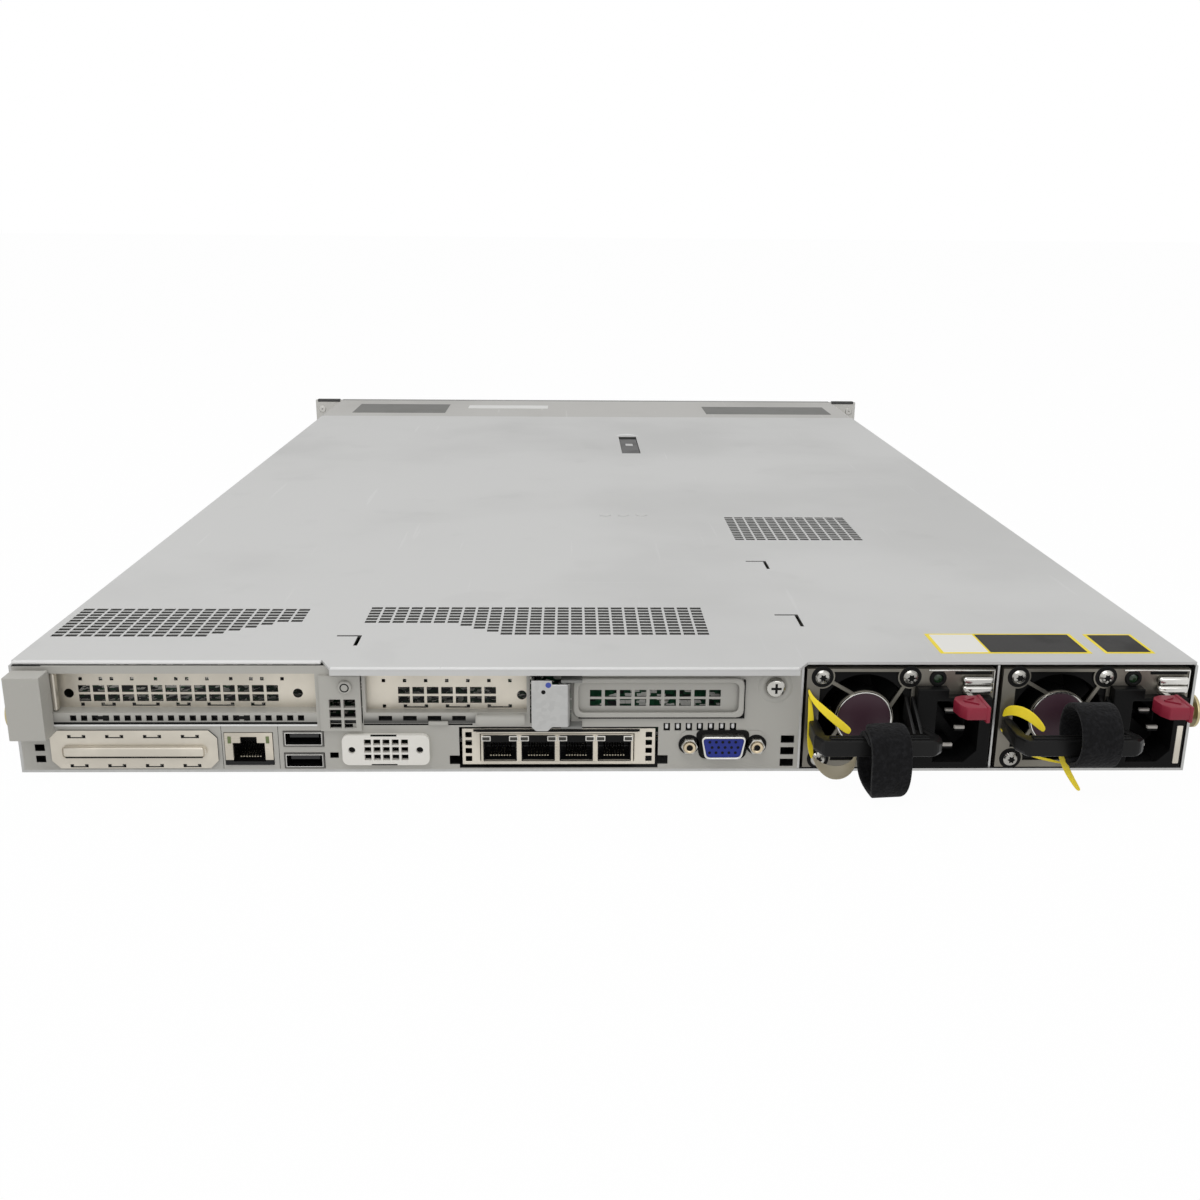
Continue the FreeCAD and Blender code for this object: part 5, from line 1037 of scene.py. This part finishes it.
# %% [markdown]
# Small dark marks give the wall its depth: the cross recess of the screw beside slot 3, the ring of the
# rivet, the screw holes and slits of the serial cover, seams, the gap under the ledge, and the ends of the
# spring tabs. The seams and the gap under the ledge are dark joints; the other black shapes are painted
# shade in recesses, holes and cuts. Three lines, under the frame of slot 3, at its right side and under the
# rib of the lower plate, are painted shadow. Cuts in the sheet would be truer, but at this size thin shapes
# a little proud of it look the same. The middle latch has a hole, a black disc of painted shade, and a blue
# dot, which turn with it.

# %% Dark marks
LEDGE_X = (-204.6, -107.4)
SCREW_X, SCREW_Z, RIVET_Z = 61.1, 33.7, 34.1
ARM, REACH = 0.45, 1.9  # half the width of a cross recess, and half its length
PLATE_OUT = -0.8  # front of the lower blank plate, from the rear wall
plate_x = [corner[0] for corner in box_of("lower_blank_plate")]
rib_x = (plate_x[0] + 4.6, plate_x[1] - 4.6)
cross = [
    (ARM, ARM), (ARM, REACH), (-ARM, REACH), (-ARM, ARM), (-REACH, ARM), (-REACH, -ARM),
    (-ARM, -ARM), (-ARM, -REACH), (ARM, -REACH), (ARM, -ARM), (REACH, -ARM), (REACH, ARM),
]
marks = [prism("cross", [(SCREW_X + x, SCREW_Z + z) for x, z in cross], REAR - 2.45, (0, 0.3, 0))]
marks.append(disc("ring", 1.7, (RIVET_X, REAR - 2.36, RIVET_Z), 0.1, 1.25))
for x in (-94.95, -69.95):
    marks.append(disc("hole", 1.28, (x, REAR - 0.6, 9.475), 0.1))
slits = [((-87.9, -78.3), (-2.06, -1.2), (low, low + 0.5), 0.1) for low in (3.5, 14.95)]
seams = [((x, x + 0.2), (-0.03, 0.2), (1.3, 19.2), 0.05) for x in (-143.0, -122.2)]
long_slots = [((x, x + 5.0), (-0.06, 0.3), (20.8, 22.5), 0.3) for x in (-188.0, -136.9)]
gaps_and_shadows = [
    (LEDGE_X, (-0.06, 0.3), (19.05, 19.95), 0.1),
    ((-90.4, -50.4), (-0.06, 0.3), (18.6, 19.3), 0.1),
    ((-50.2, 11.4), (-0.5, 0.3), (16.2, 16.9), 0.1),
    # painted shadow under and beside the raised frame of slot 3
    ((-11.4, 49.4), (-1.1, 0.1), (21.5, 22.3), 0.2),
    ((49.4, 50.0), (-1.1, 0.1), (21.5, 36.6), 0.2),
    # painted shadow under the rib of the lower plate
    ((rib_x[0] + 0.8, rib_x[1] - 0.8), (PLATE_OUT - 1.35, PLATE_OUT + 0.1), (6.4, 7.15), 0.3),
]
tab_x = [sum(plate_x) / 2 - 24.0 + 13.8 * place for place in range(4)]
tab_ends = [
    ((x, x + 0.9), (PLATE_OUT - 0.05, PLATE_OUT + 0.3), (z, z + 1.0), 0.05)
    for start in tab_x for x in (start, start + 5.7) for z in (2.3, 13.9)
]
for spans in [*slits, *seams, *long_slots, *gaps_and_shadows, *tab_ends]:
    marks.append(block("mark", *spans))
group("wall_marks", marks, "chassis", "black_plastic", black_and_shade)
# a dark disc on the latch: painted shade in its hole
dress(disc("latch_pin_hole", 0.8, (-24.1, REAR - 6.48, 34.0), 0.1), "slot_latch_mid", "black_plastic", black_and_shade)
dress(disc("latch_dot", 1.05, (-22.3, REAR - 6.45, 36.7), 0.15), "slot_latch_mid", "blue_plastic")
print(len(marks), "dark marks")

# %% [markdown]
# Bright edges answer the dark ones: the rounded rib of the lower plate, the crest of the wall under the
# ledge, a post at the end of slot 1, the pressed dimple round the screw and a strip at the end of the
# right-hand inlet. Wide bevels on plain blocks give them their highlight. The crest is also painted lighter
# than the wall, a painted highlight.

# %% Rib, crest, post and dimple
SCREW_DIMPLE = [(4.0, 0), (4.0, 0.1), (4.8, 0.45), (5.6, 0.4), (6.4, 0)]
strip_x = [SUPPLY_X["psu_2"] + x for x in (65.4, 67.7)]
rib = block("lower_plate_rib", rib_x, (PLATE_OUT - 1.6, PLATE_OUT - 0.2), (6.7, 11.0), 1.2, 5)
dress(rib, "chassis", "nickel_plate")
# the crest takes the lighter paint: a painted highlight
dress(block("wall_crest", LEDGE_X, (-0.3, 0.1), (18.3, 19.0), 0.22), "chassis", "painted_panel", pale_highlight_paint)
dress(block("slot_1_post", (-203.4, -201.8), (0.6, 3.4), (24.0, 38.6), 0.6, 3), "chassis", "nickel_plate")
dress(turned("screw_dimple", SCREW_DIMPLE, (SCREW_X, REAR, SCREW_Z)), "chassis", "painted_panel")
dress(block("psu_2_side_strip", strip_x, (-4.25, -3.6), (4.6, 19.8)), "psu_2", "nickel_plate")
print("bright edges made")

# %% [markdown]
# Pale bars lie behind the row of seven squares, and behind them a black backing, a painted shade that
# darkens the edges of each square. Above the gang of jacks runs a bright lip, and from the shelf above it
# hang a broad bent tab and a small one. The broad tab is a short strip of sheet along a curve, because a
# block would not show the bend.

# %% Bars, lip and bent tabs
SQUARE_X, SQUARE_PITCH, SQUARES = 20.2, 4.1, 7
FLAP_X, FLAP_WIDE, FLAP_THICK = -40.0, 18.0, 0.8
FLAP_BEND = [(0.3, 22.9), (-1.2, 22.8), (-2.2, 22.0), (-2.5, 20.6), (-2.2, 19.4)]
# black backing: painted shade round the pale bars
backing = block("square_row_back", (19.4, 48.2), (2.2, 2.8), (15.9, 19.85), 0.1)
dress(backing, "chassis", "black_plastic", black_and_shade)
bar_x = [SQUARE_X + 0.6 + SQUARE_PITCH * place for place in range(SQUARES)]
bars = [block("bar", (x, x + 1.2), (0.6, 2.3), (16.9, 18.9)) for x in bar_x]
group("square_row_bars", bars, "chassis", "painted_panel", pale_highlight_paint)
dress(block("gang_lip", (-49.2, 10.8), (-0.7, 0.9), (15.5, 16.1), 0.25), "chassis", "nickel_plate")
bend = [(FLAP_X, REAR + out, z) for out, z in FLAP_BEND]
flap = strip("shelf_flap", bend, (1, 0, 0), [FLAP_WIDE] * len(bend), FLAP_THICK)
small_tab = block("shelf_tab", (-66.6, -59.3), (-1.1, 0.1), (18.8, 20.4), 0.4)
group("shelf_tabs", [flap, small_tab], "chassis", "painted_panel")
print("bars, lip and tabs made")

# %% [markdown]
# Labels lie on the cover and on the fixed plate at the front. They are blank: a border and plain fields.
# Each is a thin sheet with rounded edges, a tenth of a millimetre or two proud of the paint. A patch of
# colour in the paint would be simpler, but then the label would have no edge.

# %% Blank labels
yellow_paper = moulded("label_yellow", (0.90, 0.71, 0.02), 0.5, 0.01, 0.06)
cream_paper = moulded("label_cream", (0.84, 0.83, 0.79), 0.5, 0.01, 0.04, 0.2)
black_paper = moulded("label_black", (0.016, 0.015, 0.014), 0.5, 0.01, 0.06, 0.15)
white_paper = moulded("label_white", (0.80, 0.80, 0.78), 0.5, 0.01, 0.05)
grey_film = moulded("label_grey", (0.15, 0.15, 0.14), 0.5, 0.01, 0.30, 0.2)
ON_LABEL = 0.05  # a field lies this much above its border
LABELS = [
    ("cover_label_border", (124.5, 182.0), (10.8, 34.4), "cover", yellow_paper, 0.0),
    ("cover_label_cream", (126.0, 143.0), (12.0, 33.2), "cover", cream_paper, ON_LABEL),
    ("cover_label_black", (143.8, 180.6), (12.0, 33.2), "cover", black_paper, ON_LABEL),
    ("cover_label_2_border", (187.0, 206.0), (10.9, 33.9), "cover", yellow_paper, 0.0),
    ("cover_label_2_field", (188.2, 204.8), (12.2, 32.6), "cover", black_paper, ON_LABEL),
    ("front_label_dark", (-196.0, -119.0), (625.0, 676.0), "chassis", grey_film, 0.0),
    ("front_label_white", (-102.0, -34.0), (653.0, 671.0), "chassis", white_paper, 0.0),
    ("front_label_grey", (99.0, 204.0), (625.0, 668.0), "chassis", grey_film, 0.0),
]
for name, x, y, body, finish, rise in LABELS:
    height = (COVER_TOP + rise - 0.05, COVER_TOP + rise + 0.12)
    dress(block(name, x, y, height, 0.05, 1), body, "white_plastic", finish)
print(len(LABELS), "blank labels")

# %% [markdown]
# On top of the cover lie three pressed dimples and, in front of the latch, a shallow finger scoop whose rim
# is a thin bow in a lighter paint, a painted highlight. The lever has a small pad, which lifts with it. At
# the front corners each rack ear carries a dark cap and a bright fastener, and the fascia has four small
# lamps.

# %% Top of the cover and the ears
DIMPLE_X, DIMPLE_Y, DIMPLE_R = (4.5, 14.5, 24.5), 243.5, 3.2
SCOOP = [(19.5, 509.0), (22.5, 514.0), (27.8, 516.5), (33.0, 514.0), (36.0, 509.0)]
EAR_X, STUD_X, STUD_Z = (219.5, 239.5), 235.6, 34.5
LAMP_START, LAMP_PITCH, LAMP_WIDE = 34.0, 4.4, 2.4  # first lamp from the fascia's right end
LENGTH = FRONT - REAR
dimples = []
for x in DIMPLE_X:
    round_spot = ring_of(DIMPLE_R, 24, (x, REAR + DIMPLE_Y))
    dimples.append(soften(prism("dimple", round_spot, COVER_TOP - 0.2, (0, 0, 0.6)), 0.35))
group("cover_dimples", dimples, "cover", "cover_paint")
bow = [(x, REAR + y, COVER_TOP + 0.15) for x, y in SCOOP]
scoop = strip("finger_scoop", bow, (0, 1, 0), [1.5, 5, 6, 5, 1.5], 0.3)
# the scoop takes the lighter paint: a painted highlight on its rim
dress(scoop, "cover", "cover_paint", pale_highlight_paint)
caps, studs = [], []
for hand in (-1, 1):
    cap_x = sorted(hand * x for x in EAR_X)
    caps.append(block("cap", cap_x, (LENGTH - 3.4, LENGTH + 0.2), (40.8, 43.3), 0.7, 3))
    studs.append(disc("stud", 3.0, (hand * STUD_X, FRONT - 2.95, STUD_Z), 0.7, 0.8))
group("ear_caps", caps, "chassis", "dark_plastic")
group("ear_studs", studs, "chassis", "bright_steel")
low, high = box_of("cover_latch")
pad_x, pad_y = (low[0] + high[0]) / 2, low[1] + 0.58 * (high[1] - low[1]) - REAR
pad = block("lever_pad", about(pad_x, 2.6), about(pad_y, 4.0), (high[2] - 0.1, high[2] + 0.3), 0.15)
dress(pad, "cover_latch", "cover_paint")
right, face, _ = box_of("front_fascia")[1]
lamp_x = [right - LAMP_START + LAMP_PITCH * place for place in range(4)]
lamp_y = (face - REAR - 0.4, face - REAR + 0.12)
front_lamps = [block("lamp", (x, x + LAMP_WIDE), lamp_y, (33.6, 34.8), 0.15) for x in lamp_x]
group("fascia_lamps", front_lamps, "chassis", "white_plastic", pane_green)
print("dimples, scoop, caps, studs, pad and front lamps")

# %% [markdown]
# The floor is a wide pale sheet. The camera and reflections see it nearly white, and it still takes the
# shadow. A pure white floor would need more light, which would wash out the case.

# %% Floor
FLOOR_GLOW = 0.98
bpy.ops.object.select_all(action="DESELECT")
bpy.ops.mesh.primitive_plane_add(size=30, location=(0, 0, -0.0005))
floor = bpy.context.active_object
floor.name = "floor"
paper = Finish("floor_paper", base_color=(0.9, 0.9, 0.9), roughness=0.9)
lit = paper.material.node_tree
glow = lit.nodes.new("ShaderNodeEmission")
glow.inputs["Color"].default_value = (1, 1, 1, 1)
blend = lit.nodes.new("ShaderNodeMixShader")
share = Value(paper, background_rays(lit)) * FLOOR_GLOW
lit.links.new(share.socket, blend.inputs[0])
lit.links.new(paper.shader.outputs[0], blend.inputs[1])
lit.links.new(glow.outputs[0], blend.inputs[2])
lit.links.new(blend.outputs[0], lit.nodes["Material Output"].inputs["Surface"])
floor.data.materials.append(paper.material)
print("floor laid")
